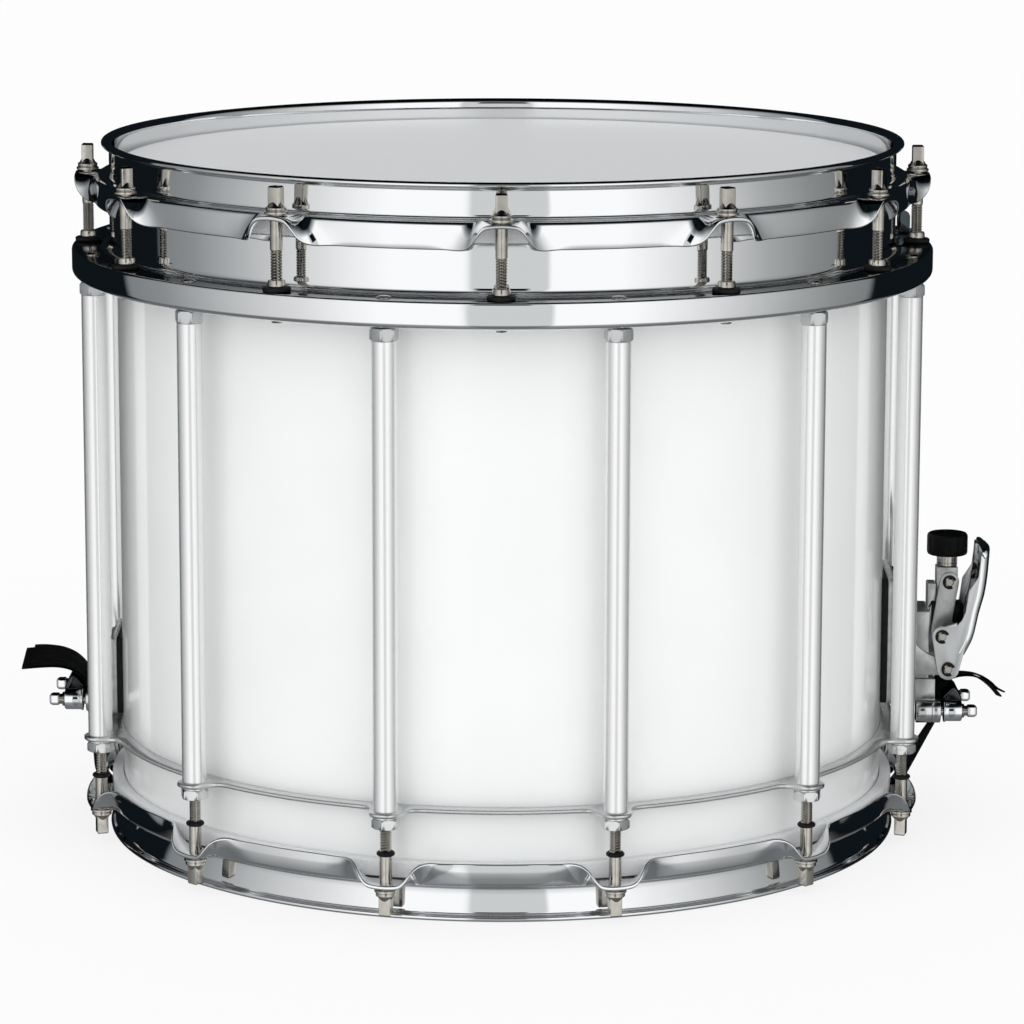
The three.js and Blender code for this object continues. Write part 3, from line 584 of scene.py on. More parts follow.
def piece(name, parts, body="drum", replaces=(), slot=None, sharp=32):
    """One object from (form, finish) pairs, riding on its body and standing for CAD nodes. Forms
    over the same list of points share them, and edges sharper than a number of degrees stay so."""
    points = []
    faces = []
    starts = {}
    for (more, over), finish in parts:
        if id(more) not in starts:
            starts[id(more)] = len(points)
            points += more
        start = starts[id(more)]
        faces += [tuple(start + i for i in face) for face in over]
    mesh = bpy.data.meshes.new(name)
    mesh.from_pydata(in_metres(points), [], faces)
    finishes = []
    index = []
    for (more, over), finish in parts:
        if finish not in finishes:
            finishes.append(finish)
        index += [finishes.index(finish)] * len(over)
    for finish in finishes:
        mesh.materials.append(finish)
    mesh.polygons.foreach_set("material_index", index)
    edit = bmesh.new()
    edit.from_mesh(mesh)
    bmesh.ops.recalc_face_normals(edit, faces=edit.faces)
    edit.to_mesh(mesh)
    edit.free()
    mesh.shade_smooth()
    mesh.set_sharp_from_angle(angle=math.radians(sharp))
    made = bpy.data.objects.new(name, mesh)
    bpy.context.scene.collection.objects.link(made)
    if body:
        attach(made, body)
    if replaces:
        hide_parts(*replaces)
    return made


def cut_out(target, form):
    """Takes a form away from a finished piece, for good."""
    tool_mesh = bpy.data.meshes.new("tool")
    points, faces = form
    tool_mesh.from_pydata(in_metres(points), [], faces)
    tool = bpy.data.objects.new("tool", tool_mesh)
    bpy.context.scene.collection.objects.link(tool)
    step = target.modifiers.new("cut", "BOOLEAN")
    step.object = tool
    step.operation = "DIFFERENCE"
    step.solver = "EXACT"
    bpy.context.view_layer.update()
    shown = target.evaluated_get(bpy.context.evaluated_depsgraph_get())
    done = bpy.data.meshes.new_from_object(shown)
    target.modifiers.clear()
    target.data = done
    bpy.data.objects.remove(tool)


def numbered(stem):
    """The names of twelve like nodes."""
    return [f"{stem}_{i + 1:02d}" for i in range(ROD_COUNT)]


def from_top(points):
    """Points measured down from the batter side's rim, where the upper pieces are counted from."""
    return [(r, RIM_HIGH - drop) for r, drop in points]


# Shell: lacquered outside, bare inside


def shell_forms():
    """The bare inside, and the rest with the bearing edge at each end."""
    outer = [
        (SHELL_RADIUS - SHELL_WALL, SHELL_LOW + BEARING_CUT),
        (SHELL_RADIUS - BEARING_CUT - 0.6, SHELL_LOW + 0.3),
        (SHELL_RADIUS - BEARING_CUT, SHELL_LOW),
        (SHELL_RADIUS - BEARING_CUT + 0.7, SHELL_LOW + 0.5),
        (SHELL_RADIUS - 0.4, SHELL_LOW + BEARING_RISE - 0.6),
        (SHELL_RADIUS, SHELL_LOW + BEARING_RISE),
    ]
    profile = outer + [(r, SHELL_LOW + SHELL_HIGH - z) for r, z in reversed(outer)]
    return split(plain_hoop(profile), len(profile), [len(profile) - 1])


inside, outside = shell_forms()
shell_parts = [(outside, LACQUER), (inside, MAPLE)]
piece("drum_shell", shell_parts, replaces=["shell"], slot="white_lacquer")

# Heads: a film folded down over the bearing edge, into its flesh hoop

COLLAR_FOLD = 6.3
COLLAR_STEPS = 8
FILM_CLEARANCE = 0.6
FLESH_CLEARANCE = 0.3
# Shares of the flat film's radius at which it has a ring of points
FILM_RINGS = (0.02, 0.25, 0.5, 0.75, 0.97)


def head_profile():
    """The film's section as (radius, drop) points, its outside first."""
    film_radius = SHELL_RADIUS + FILM_CLEARANCE
    flat_radius = SHELL_RADIUS - BEARING_CUT
    reach = film_radius - flat_radius
    outer = [(flat_radius * share, HEAD_RECESS) for share in FILM_RINGS]
    for i in range(COLLAR_STEPS + 1):
        a = math.radians(90 * i / COLLAR_STEPS)
        out = flat_radius + reach * math.sin(a)
        outer.append((out, HEAD_RECESS + COLLAR_FOLD * (1 - math.cos(a))))
    outer.append((film_radius, FLESH_LOW + 0.4))
    inner = [(r - FILM if r > flat_radius else r, drop + FILM) for r, drop in reversed(outer)]
    return outer + inner


def flesh_section():
    """The flesh hoop's section as (radius, drop) points."""
    inner = SHELL_RADIUS + FLESH_CLEARANCE
    high = FLESH_LOW + FLESH_HEIGHT
    corners = [(inner, FLESH_LOW, 0.4), (FLESH_RADIUS, FLESH_LOW, 0.8)]
    corners += [(FLESH_RADIUS, high, 0.8), (inner, high, 0.4)]
    return rounded(corners, 3)


def head_form(place):
    """A head whose profile and section are put in their place by a function."""
    return joined(turned(place(head_profile()), 360), plain_hoop(place(flesh_section()), 240))


piece("batter_film", [(head_form(from_top), FROSTED)], replaces=["batter_head"], slot="head_film")
piece("snare_film", [(head_form(list), FROSTED)], replaces=["snare_head"], slot="head_film")

# Hoops: one pressed sheet, folded down between the ears and left flat at them

SHEET = 2
LEDGE_DROP = 15.8
BEND_RADIUS = 2.8
FOLD_START = 184.6
EAR_FLANGE = 12.1
# Each hoop's skirt between the ears, and the share of a right angle that it folds through
UPPER_SKIRT = (9.5, 1)
LOWER_SKIRT = (8.7, 0.94)
# Where the flange starts to narrow, in degrees from an ear's middle, and how many it takes
NARROWING = (2, 6)
# Degrees of fold at degrees round the drum from an ear's middle
FOLDS = [(0, 0), (1.5, 2), (2.2, 6), (2.7, 14), (3.2, 27), (3.7, 43), (4.5, 61)]
FOLDS += [(5.8, 78), (7.5, 87), (9.5, 90), (15, 90)]
# The rim's inner roll, then its outer roll and the foot's corner as (radius, drop) of each middle
COLLAR_ROLL = 2.4
RIM_ROLL = (183.05, 1.15)
ROLL_BACK = (182.2, 3.8)
FOOT = (182.8, 13.7)
FOOT_BEND = 2.1
# The gate in the lower hoop for each strap: limits across, up and out from the middle
GATE_WIDTH = (-14, 14)
GATE_HEIGHT = (4.5, 21)
GATE_DEPTH = (176, 195)
# Edges sharper than this many degrees stay sharp
HOOP_SHARP = 50


def eased(table, x):
    """A smooth curve through a short table of (place, value)."""
    for i in range(len(table) - 1):
        (x0, y0), (x1, y1) = table[i], table[i + 1]
        if x <= x1 or i == len(table) - 2:
            break

    def slope(k):
        if k == 0 or k == len(table) - 1:
            return 0
        return (table[k + 1][1] - table[k - 1][1]) / (table[k + 1][0] - table[k - 1][0])

    t = min(max((x - x0) / (x1 - x0), 0), 1)
    step = x1 - x0
    return (
        (2 * t**3 - 3 * t**2 + 1) * y0
        + (t**3 - 2 * t**2 + t) * step * slope(i)
        + (3 * t**2 - 2 * t**3) * y1
        + (t**3 - t**2) * step * slope(i + 1)
    )


def hoop_form(first_angle, sizes, place):
    """A hoop with its first ear at an angle, its section put in its place by a function."""
    skirt, lean = sizes

    def section(angle):
        off = abs((angle - first_angle + PITCH_ANGLE / 2) % PITCH_ANGLE - PITCH_ANGLE / 2)
        fold = lean * eased(FOLDS, off)
        t = min(max((off - NARROWING[0]) / NARROWING[1], 0), 1)
        flange = EAR_FLANGE + (skirt - EAR_FLANGE) * t * t * (3 - 2 * t)
        rim = arc((COLLAR_INNER + COLLAR_ROLL, COLLAR_ROLL), COLLAR_ROLL, 180, 270, 5)
        rim += arc(RIM_ROLL, RIM_ROLL[1], 270, 450, 8)
        rim += arc(ROLL_BACK, 1.5, 270, 180, 4)
        corner = arc(FOOT, FOOT_BEND, 180, 90, 5)
        bend = (FOLD_START, LEDGE_DROP + BEND_RADIUS)
        outer = arc(bend, BEND_RADIUS, 270, 270 + fold, 6)
        a = math.radians(fold)
        run = (math.cos(a), math.sin(a))
        down = (-math.sin(a), math.cos(a))
        tip = (outer[-1][0] + flange * run[0], outer[-1][1] + flange * run[1])

        def at(back, depth):
            u = tip[0] - back * run[0] + depth * down[0]
            w = tip[1] - back * run[1] + depth * down[1]
            return (u, w)

        half = flange * 0.5
        edge = [at(half, 0), at(0.6, 0), at(0.18, 0.18), at(0, 0.6), at(0, SHEET - 0.6)]
        edge += [at(0.18, SHEET - 0.18), at(0.6, SHEET), at(half, SHEET)]
        inner = list(reversed(arc(bend, BEND_RADIUS - SHEET, 270, 270 + fold, 4)))
        back = arc(FOOT, FOOT_BEND + SHEET, 90, 180, 5)
        return place(rim + corner + outer + edge + inner + back)

    # Quarter degrees over each ear, whole degrees between them
    offsets = [i / 4 for i in range(-26, 27)] + list(range(7, 24))
    starts = [first_angle + k * PITCH_ANGLE for k in range(ROD_COUNT)]
    return hooped(section, [start + off for start in starts for off in offsets])


def hoop_piece(name, node, form):
    """A hoop's piece, with its finish."""
    return piece(name, [(form, CHROME)], replaces=[node], slot="chrome", sharp=HOOP_SHARP)


hoop_piece("batter_hoop", "top_hoop", hoop_form(0, UPPER_SKIRT, from_top))
lower_form = hoop_form(PITCH_ANGLE / 2, LOWER_SKIRT, list)
lower_hoop = hoop_piece("snare_hoop", "bottom_hoop", lower_form)
for side in (-1, 1):
    depth = span(side * GATE_DEPTH[0], side * GATE_DEPTH[1])
    cut_out(lower_hoop, block(depth, GATE_WIDTH, GATE_HEIGHT, 3, "x"))
lower_hoop.data.set_sharp_from_angle(angle=math.radians(HOOP_SHARP))

# Top ring: a cast band, with the sleeve that goes up inside the hoop

# Radii of the ring's lower and upper outer edges, of the fillet at the sleeve and of its lip
LOWER_EDGE = 2.6
UPPER_EDGE = 1.3
FILLET = 4
LIP = 0.7
FRONT = (0, -ROD_PITCH)


def ring_forms():
    """The deck on its own, and the rest of the casting."""
    profile = [(SLEEVE_INNER, RING_LOW)]
    profile += arc((RING_RADIUS - LOWER_EDGE, RING_LOW + LOWER_EDGE), LOWER_EDGE, 270, 360, 6)
    profile += arc((RING_RADIUS - UPPER_EDGE, RING_HIGH - UPPER_EDGE), UPPER_EDGE, 0, 90, 5)
    deck = len(profile) - 1
    profile += arc((SLEEVE_OUTER + FILLET, RING_HIGH + FILLET), FILLET, 270, 180, 8)
    profile += arc((SLEEVE_OUTER - LIP, SLEEVE_HIGH - LIP), LIP, 0, 90, 3)
    profile.append((SLEEVE_INNER, SLEEVE_HIGH))
    return split(plain_hoop(profile, 480), len(profile), [deck])


def round_the_drum(form, first_angle):
    """Twelve copies of a form at the front, the first turned by an angle."""
    return joined(*[moved(form, turn=first_angle + i * PITCH_ANGLE) for i in range(ROD_COUNT)])


def on_deck(profile):
    """A turned form at the front, from (radius, height over the deck) points."""
    return turned([(r, RING_HIGH + z) for r, z in profile], 32, at=FRONT)


ring_deck, ring_body = ring_forms()
receiver = on_deck([(3.2, 2.1), (3.9, 2.5), (3.9, 4.2), (3.5, 5), (2.9, 5.1)])
pad = peg(6.2, RING_HIGH, RING_HIGH + 2.2, at=FRONT, edge=0.8)
screw_head = on_deck([(3.2, 0), (3.2, 0.4), (2.6, 0.9), (1.5, 1.2), (0.2, 1.3)])
piece(
    "ring_casting",
    [
        # The deck's dark blue grey base is a painted reflection of the dark overhead
        (ring_deck, DECK_PAINTED_DARK),
        (ring_body, CHROME),
        (round_the_drum(receiver, 0), STEEL),
        (round_the_drum(pad, 0), RUBBER),
        (round_the_drum(screw_head, PITCH_ANGLE / 2), STEEL),
    ],
    replaces=["top_ring"],
    slot="chrome",
)

# Bottom ring: a blanked plate, with an ear at each tube and a ridged edge between them

# Radius of the edge at degrees round the drum from an ear's middle
PLATE_EARS = [(0, 198.6), (0.9, 198.2), (1.5, 196.9), (1.95, 194.6), (2.2, 191.6)]
PLATE_EARS += [(2.5, 188.6), (3, 186.3), (3.8, 185.3), (5, 185), (15, 185)]
# Height of the edge's ridges, their count round the drum, and where they start after an ear
RIDGE = 0.14
RIDGE_COUNT = 1080
RIDGE_START = 5
PLATE_SIDES = 4 * RIDGE_COUNT


def plate_section(angle):
    """The plate's section at an angle in degrees from the front."""
    off = abs((angle + PITCH_ANGLE) % PITCH_ANGLE - PITCH_ANGLE / 2)
    edge = eased(PLATE_EARS, off)
    if off > RIDGE_START:
        edge += RIDGE * math.cos(math.radians(angle) * RIDGE_COUNT)
    return [
        (SLEEVE_INNER, PLATE_LOW + 0.2),
        (SLEEVE_INNER + 0.3, PLATE_LOW),
        (edge - 0.5, PLATE_LOW),
        (edge, PLATE_LOW + 0.4),
        (edge, PLATE_HIGH - 0.4),
        (edge - 0.5, PLATE_HIGH),
        (SLEEVE_INNER + 0.3, PLATE_HIGH),
        (SLEEVE_INNER, PLATE_HIGH - 0.2),
    ]


piece(
    "ring_plate",
    [(hooped(plate_section, [360 * i / PLATE_SIDES for i in range(PLATE_SIDES)]), MILLED)],
    replaces=["bottom_ring"],
    slot="milled_steel",
    sharp=60,
)

# Tension rods: square drive, cone, collar and washers, shank and thread

THREAD_PITCH = 1.25
DRIVE_SIDE = 5.2
DRIVE_LENGTH = 8.9
SHANK_RADIUS = 2.75
THREAD_RADIUS = 2.7
THREAD_DEPTH = 0.6
# How far past the hoop's ledge a washer's face stands, and the whole head from there to its end
WASHER_GAP = 0.3
HEAD_LENGTH = DRIVE_LENGTH + 3.2
# Heights where each rod's shank ends and where its thread ends
TOP_SHANK_END = 290.2
TOP_THREAD_END = 259.3
LOW_SHANK_END = 32
LOW_THREAD_END = 62.2
# Height of the rubber ring's middle, how far it bulges, and half its thickness along the rod
SEAL_HEIGHT = 31.1
SEAL_BULGE = 1.35
SEAL_HALF = 1.1


def square(half, radius, steps):
    """A square outline with rounded corners."""
    corners = [(-half, -half, radius), (half, -half, radius)]
    return rounded(corners + [(half, half, radius), (-half, half, radius)], steps)


def rod_head():
    """The drive end, from height zero up to the washer face."""
    outline = square(DRIVE_SIDE / 2, 0.35, 3)
    drive = [
        [(u, w, 0) for u, w in inset(outline, 0.7)],
        [(u, w, 0.15) for u, w in inset(outline, 0.35)],
        [(u, w, 0.6) for u, w in outline],
        [(u, w, DRIVE_LENGTH + 0.6) for u, w in outline],
    ]
    collar = [
        (2.2, 6.2),
        (2.6, 6.7),
        (3.5, DRIVE_LENGTH - 0.7),
        (3.9, DRIVE_LENGTH - 0.1),
        (4.3, DRIVE_LENGTH),
        (4.5, DRIVE_LENGTH + 0.3),
        (4.5, DRIVE_LENGTH + 1.2),
        (4.2, DRIVE_LENGTH + 1.7),
    ]
    washer = [
        (4.6, DRIVE_LENGTH + 1.7),
        (5.1, DRIVE_LENGTH + 2),
        (5.1, DRIVE_LENGTH + 2.8),
        (4.7, DRIVE_LENGTH + 3.1),
    ]
    return joined(skin(drive), turned(collar, 40), turned(washer, 40))


def rod_form(shank_end, thread_end):
    """A whole rod from its drive end at height zero."""
    low = DRIVE_LENGTH + 2.8
    shank = [(SHANK_RADIUS, low), (SHANK_RADIUS, shank_end - 0.5), (2.3, shank_end)]
    ridges = thread(THREAD_RADIUS, THREAD_PITCH, shank_end - 0.1, thread_end, THREAD_DEPTH)
    return joined(rod_head(), turned(shank, 28), ridges)


def seal_form():
    """The rubber ring on each lower rod, where its thread begins."""
    profile = []
    for degrees in range(10, 171, 20):
        a = math.radians(degrees)
        out = THREAD_RADIUS + SEAL_BULGE * math.sin(a)
        profile.append((out, SEAL_HEIGHT - SEAL_HALF * math.cos(a)))
    return turned(profile, 40, at=FRONT)


def place_rods(stem, parts, first_angle):
    """Twelve rods from one mesh, each on its own body, made at the front and turned round."""
    mesh = None
    for i, node in enumerate(numbered(stem)):
        name = node.replace("rod", "tension_rod")
        if mesh is None:
            rod = piece(name, parts, f"{node}_body", [node], "rod_steel")
            mesh = rod.data
        else:
            rod = bpy.data.objects.new(name, mesh)
            bpy.context.scene.collection.objects.link(rod)
            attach(rod, f"{node}_body")
            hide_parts(node)
        rod.rotation_euler[2] = math.radians(first_angle + i * PITCH_ANGLE)


TOP_HEAD = RIM_HIGH - LEDGE_DROP + WASHER_GAP + HEAD_LENGTH
LOW_HEAD = LEDGE_DROP - WASHER_GAP - HEAD_LENGTH
top_rod = rod_form(TOP_HEAD - TOP_SHANK_END, TOP_HEAD - TOP_THREAD_END)
top_rod = moved(top_rod, (*FRONT, TOP_HEAD), flip=True)
low_rod = rod_form(LOW_SHANK_END - LOW_HEAD, LOW_THREAD_END - LOW_HEAD)
low_rod = moved(low_rod, (*FRONT, LOW_HEAD))
place_rods("top_rod", [(top_rod, STEEL)], 0)
place_rods("bottom_rod", [(low_rod, STEEL), (seal_form(), RUBBER)], PITCH_ANGLE / 2)

# Lug tubes: a tube between two nuts, with a neck and a washer through the plate ring

TUBE_RADIUS = 5.55
TUBE_HIGH = 254.8
NUT_FLATS = 11
TOP_NUT = (TUBE_HIGH, 260.3)
LOW_NUT = (42.5, 47)


def tube_forms():
    """The tube, the nut at its top, and its lower fittings."""
    tube = [
        (4.6, PLATE_HIGH),
        (TUBE_RADIUS - 0.2, PLATE_HIGH),
        (TUBE_RADIUS, PLATE_HIGH + 0.3),
        (TUBE_RADIUS, TUBE_HIGH - 0.2),
        (TUBE_RADIUS - 0.25, TUBE_HIGH),
    ]
    neck = [(4.2, 46.8), (4.2, PLATE_HIGH + 0.1)]
    washer = [(5.6, 47), (5.9, 47.2), (5.9, 47.8), (5.6, 48)]
    fittings = joined(
        turned(neck, 32, at=FRONT),
        turned(washer, 48, at=FRONT),
        moved(hexagon(NUT_FLATS, *LOW_NUT), (*FRONT, 0)),
        turned([(3.4, 42.2), (3.4, 43)], 32, at=FRONT),
    )
    return turned(tube, 64, at=FRONT), moved(hexagon(NUT_FLATS, *TOP_NUT), (*FRONT, 0)), fittings


piece(
    "lug_tubes",
    [
        (round_the_drum(form, PITCH_ANGLE / 2), finish)
        for form, finish in zip(tube_forms(), (TUBE, SATIN, POLISHED))
    ],
    replaces=numbered("lug_tube"),
    slot="tube_aluminium",
)

# Strainer: base on the shell, lever, link, yoke, knob and carriage

# Thickness of a clip, its outer radius, and its inner radii at its teeth and between them
CLIP = 0.9
CLIP_OUTER = 3.3
CLIP_INNER = 1.95
CLIP_LOBE = 2.35
# Radii of a pin, of the groove for its clip and of its chamfered end
PIN = 2.2
PIN_GROOVE = 1.85
PIN_END = 1.5
# Places of the lever's lower pin and of the yoke's pin
CRANK = (205.5, 89.7)
LINK_PIN = (209.4, 113.7)
# Near and far faces of the plates, counted from the middle plane, and where the pivot pins end
CHEEK = (12.6, 14.4)
LEVER_PLATE = (14.7, 16.3)
LINK_PLATE = (4.9, 6.5)
YOKE_HALF = 4.6
PIVOT_PIN_END = 17.5
# The mounting plate's outer face and the guide's
PLATE_FACE = 183.2
GUIDE_FACE = 193.4
GUIDE_TOP = 85.9
# Behind a mounting plate: the gasket's limits out from the drum's axis, and the plate's inner face
GASKET = (176.4, 179.3)
PLATE_BACK = 179.2
BOLT_FLATS = 6.6
CHEEK_RADIUS = 5
# The lever's depth and length, which its outline is given in shares of
LEVER_DEPTH = 17.6
LEVER_LENGTH = 58


def around_pivot(shares):
    """Places on the lever from shares of its depth and length."""
    return [(PIVOT[0] + u * LEVER_DEPTH, PIVOT[1] + w * LEVER_LENGTH) for u, w in shares]


def mirrored(outline, low, high, edge=0.3):
    """The same plate at both sides of the middle plane."""
    return both_sides(lambda side: plate(outline, *span(side * low, side * high), edge))


def pins(at, start, end):
    """A pin's two ends past the plates, each turned down to its groove and chamfered."""
    profile = [(PIN, start), (PIN, end - CLIP), (PIN_GROOVE, end - CLIP)]
    profile += [(PIN_GROOVE, end - 0.1), (PIN_END, end + 0.25)]
    return both_sides(lambda side: turned([(r, side * y) for r, y in profile], 32, "y", at))


def clips(at, end):
    """An E-clip round each end of a pin, open to one side."""
    ring = arc(at, CLIP_OUTER, 20, 300, 28)
    ring += arc(at, CLIP_INNER, 300, 250, 4) + arc(at, CLIP_LOBE, 245, 215, 3)
    ring += arc(at, CLIP_INNER, 210, 150, 4) + arc(at, CLIP_LOBE, 145, 100, 3)
    ring += arc(at, CLIP_INNER, 95, 20, 5)
    return mirrored(ring, end - CLIP + 0.08, end - 0.08, 0.12)


def cheek_outline():
    """A cheek: round the pivot, then in a hollow curve up to the guide."""
    found = [(PLATE_FACE - 1, GUIDE_TOP), (PLATE_FACE - 1, PIVOT[1] - 3.3)]
    found += arc(PIVOT, CHEEK_RADIUS, 221.3, 450, 24)
    steps = 8
    for i in range(1, steps + 1):
        t = i / steps
        near = (1 - t) ** 2
        bend = 2 * t * (1 - t)
        u = PIVOT[0] * near + bend * (GUIDE_FACE + CHEEK_RADIUS) + t * t * GUIDE_FACE
        w = (PIVOT[1] + CHEEK_RADIUS) * (near + bend) + t * t * GUIDE_TOP
        found.append((u, w))
    return found


def base_bolt(y, z):
    """A mounting bolt's head on the plate's face."""
    return hexagon(BOLT_FLATS, PLATE_FACE - 0.2, PLATE_FACE + 2.2, 0.5, 48, "x", (y, z))


def strainer_base_forms():
    """The casting, the bolts with the pivot pins, and the gasket with the clips."""
    casting = joined(
        block((PLATE_BACK, PLATE_FACE), (-24, 24), (58.7, 118.7), 3.5, "x", 0.8),
        block((PLATE_FACE - 0.5, GUIDE_FACE), (-10.8, 10.8), (62, 115.7), 1, "x", 0.6),
        mirrored(cheek_outline(), *CHEEK, 0.4),
    )
    bolts = [base_bolt(y, z) for y in (-17.8, 17.8) for z in (64.9, 112.5)]
    gasket = block(GASKET, (-23.6, 23.6), (59.1, 118.3), 3.5, "x", 0.3)
    pivot_pins = pins(PIVOT, CHEEK[0] + 0.2, PIVOT_PIN_END)
    return casting, joined(*bolts, pivot_pins), joined(gasket, clips(PIVOT, PIVOT_PIN_END))


piece(
    "strainer_bracket",
    list(zip(strainer_base_forms(), (CAST, STEEL, RUBBER))),
    replaces=["strainer_base"],
    slot="cast_aluminium",
)

LEVER_OUTER = [(0.64, 0.25), (0.773, 0.45), (0.892, 0.602), (0.96, 0.755), (1, 0.936)]
LEVER_INNER = [(0.75, 0.97), (0.75, 0.755), (0.511, 0.643), (0.432, 0.467)]
LEVER_INNER += [(0.341, 0.402), (0.19, 0.347)]
LEVER_TIP = [(226.1, 129.7), (225.3, 131), (223.9, 131.3)]
LEVER_START = (7.6, 6.4)
# The channel's bent corners, the edge of its sides under them, and how far its web bows inwards
LEVER_BEND = 2.8
LEVER_SIDE = 3.3
LEVER_BOW = 1.9
# Radii of the sides about the pivot and about the lower pin
PIVOT_BOSS = 5.2
CRANK_BOSS = 4.7
# Places across a bowed web or a tape, in shares of half its width
SPREAD = [-1 + 2 * k / 12 for k in range(13)]


def smooth_path(points, steps):
    """A smooth curve through points of any number of coordinates."""
    places = [Vector(point) for point in points]
    padded = [places[0]] + places + [places[-1]]
    found = []
    for p0, p1, p2, p3 in zip(padded, padded[1:], padded[2:], padded[3:]):
        for step in range(steps):
            t = step / steps
            even = 2 * p1 + (p2 - p0) * t + (2 * p0 - 5 * p1 + 4 * p2 - p3) * t**2
            found.append(0.5 * (even + (3 * p1 - p0 - 3 * p2 + p3) * t**3))
    return found + [places[-1]]


def lever_plates():
    """The two sides of the pressed channel, less its bent outer edge."""
    outer = around_pivot(LEVER_OUTER)
    side = arc(PIVOT, PIVOT_BOSS, 190, 335, 16)
    side += [(x - 2.4, z) for x, z in outer[:-1]]
    side += [(outer[-1][0] - 2.2, outer[-1][1] - 1), (outer[-1][0] - 3, outer[-1][1] + 1.2)]
    side += rounded([(x, z, 0.9) for x, z in around_pivot(LEVER_INNER)], 3)[4:]
    side += arc(CRANK, CRANK_BOSS, 75, 185, 14)
    return mirrored(side, LEVER_PLATE[0], LEVER_PLATE[1] - 0.03, 0.35)


def lever_section(bow):
    """The channel's section as (y, depth) points, its web bowed by a distance in the middle."""
    half = LEVER_PLATE[1]
    wall = LEVER_PLATE[1] - LEVER_PLATE[0]
    flat = half - LEVER_BEND

    def bowed(y, depth):
        return depth - bow * (1 - (y / half) ** 2)

    corner = []
    for a in (0, 0.4, 0.8, 1.2):
        corner.append((LEVER_BEND * (1 - math.cos(a)), LEVER_BEND * (1 - math.sin(a))))
    outer = [(-half, LEVER_SIDE)] + [(-half + y, depth) for y, depth in corner]
    outer += [(k * flat, bowed(k * flat, 0)) for k in SPREAD]
    outer += [(half - y, depth) for y, depth in reversed(corner)] + [(half, LEVER_SIDE)]
    inner = [(half - wall, LEVER_SIDE), (half - wall, LEVER_BEND)]
    inner += [(-k * flat, bowed(k * flat, wall)) for k in SPREAD]
    return outer + inner + [(-half + wall, LEVER_BEND), (-half + wall, LEVER_SIDE)]


def lever_skin():
    """The bent outer edge and the bowed web between the sides, over the top of the lever."""
    start = (PIVOT[0] + LEVER_START[0], PIVOT[1] + LEVER_START[1])
    path = smooth_path([start] + around_pivot(LEVER_OUTER) + LEVER_TIP, 4)
    rings = []
    for i, here in enumerate(path):
        before = path[max(i - 1, 0)]
        after = path[min(i + 1, len(path) - 1)]
        run = (after - before).normalized()
        inward = Vector((-run.y, run.x))
        # The web is flat at both ends of the lever
        ring = []
        for y, depth in lever_section(LEVER_BOW * min(1, i / 12, (len(path) - 1 - i) / 10)):
            point = here + inward * depth
            ring.append((point.x, y, point.y))
        rings.append(ring)
    return skin(rings)


piece(
    "strainer_handle",
    [
        (lever_plates(), SATIN),
        (lever_skin(), CHROME),
        (pins(CRANK, LINK_PLATE[1] + 0.4, LEVER_PLATE[1] + CLIP), STEEL),
        (clips(CRANK, LEVER_PLATE[1] + CLIP), RUBBER),
    ],
    "lever",
    ["strainer_lever"],
    "chrome",
)

LINK_RADIUS = 4.5


def link_form():
    """The link's two side plates, round about both pins."""
    tilt = math.degrees(math.atan2(LINK_PIN[0] - CRANK[0], LINK_PIN[1] - CRANK[1]))
    side = arc(LINK_PIN, LINK_RADIUS, -tilt, 180 - tilt, 24)
    side += arc(CRANK, LINK_RADIUS, 180 - tilt, 360 - tilt, 24)
    return mirrored(side, *LINK_PLATE, 0.35)


piece(
    "strainer_side_links",
    [
        (link_form(), CAST),
        (block((211.4, 216.4), (-5.6, 5.6), (93.4, 103), 1.4, "y", 0.9), KNOB),
    ],
    "link",
    ["strainer_link"],
    "rod_steel",
)

LINK_PIN_END = LINK_PLATE[1] + 0.3 + CLIP
piece(
    "strainer_block",
    [
        (block((203.5, 213.4), (-YOKE_HALF, YOKE_HALF), (110.7, 120.3), 0.5, "y", 0.4), CAST),
        (pins(LINK_PIN, YOKE_HALF - 0.2, LINK_PIN_END), STEEL),
        (clips(LINK_PIN, LINK_PIN_END), RUBBER),
    ],
    "yoke",
    ["strainer_yoke"],
    "cast_aluminium",
)

FLUTES = 12
FLUTE_DEPTH = 0.4
# The part of the grip that the flutes run over: past a radius and under a height
FLUTED = (9, 135)
KNOB_SCREW = 2.2
KNOB_PITCH = 0.8


def knob_forms():
    """The fluted grip, and the collar with the screw under it."""
    grip = [(4.6, 126), (8.7, 126), (9.2, 126.3), (9.45, 127), (9.5, 128), (9.5, 134.4)]
    grip += [(9.3, 135.3), (8.7, 135.9), (7.6, 136), (6.2, 135.75), (0.4, 135.7)]
    collar = [(4.1, 120.6), (4.8, 120.9), (4.8, 121.9), (4.5, 122), (4.5, 122.3)]
    collar += [(4.8, 122.4), (4.8, 126.2)]
    axis = (PIVOT[0], 0)

    def fluted(r, height, angle):
        if r < FLUTED[0] or height > FLUTED[1]:
            return r
        return r - FLUTE_DEPTH * max(0, math.cos(FLUTES * angle)) ** 5

    metal = joined(
        turned(collar, 48, at=axis),
        turned([(KNOB_SCREW, 110), (KNOB_SCREW, 121)], 24, at=axis),
        moved(thread(KNOB_SCREW, KNOB_PITCH, 81.5, 110.2, 0.3, 16), (*axis, 0)),
    )
    return turned(grip, 144, at=axis, shape=fluted), metal


piece(
    "strainer_knob",
    list(zip(knob_forms(), (KNOB, STEEL))),
    "knob",
    ["tension_knob"],
    "knob_plastic",
)

# Clamps: a cast seat and a plated jaw, drawn together by two square-headed screws

SEAT_BOSS = 5.6
JAW_BOSS = 4.9
BAR_HALF = 3.6
# The gap for the tape between seat and jaw, and where a screw's head starts, past the jaw's face
JAW_GAP = 1.5
SCREW_START = 8.9
CLAMP_DRIVE = 5.5
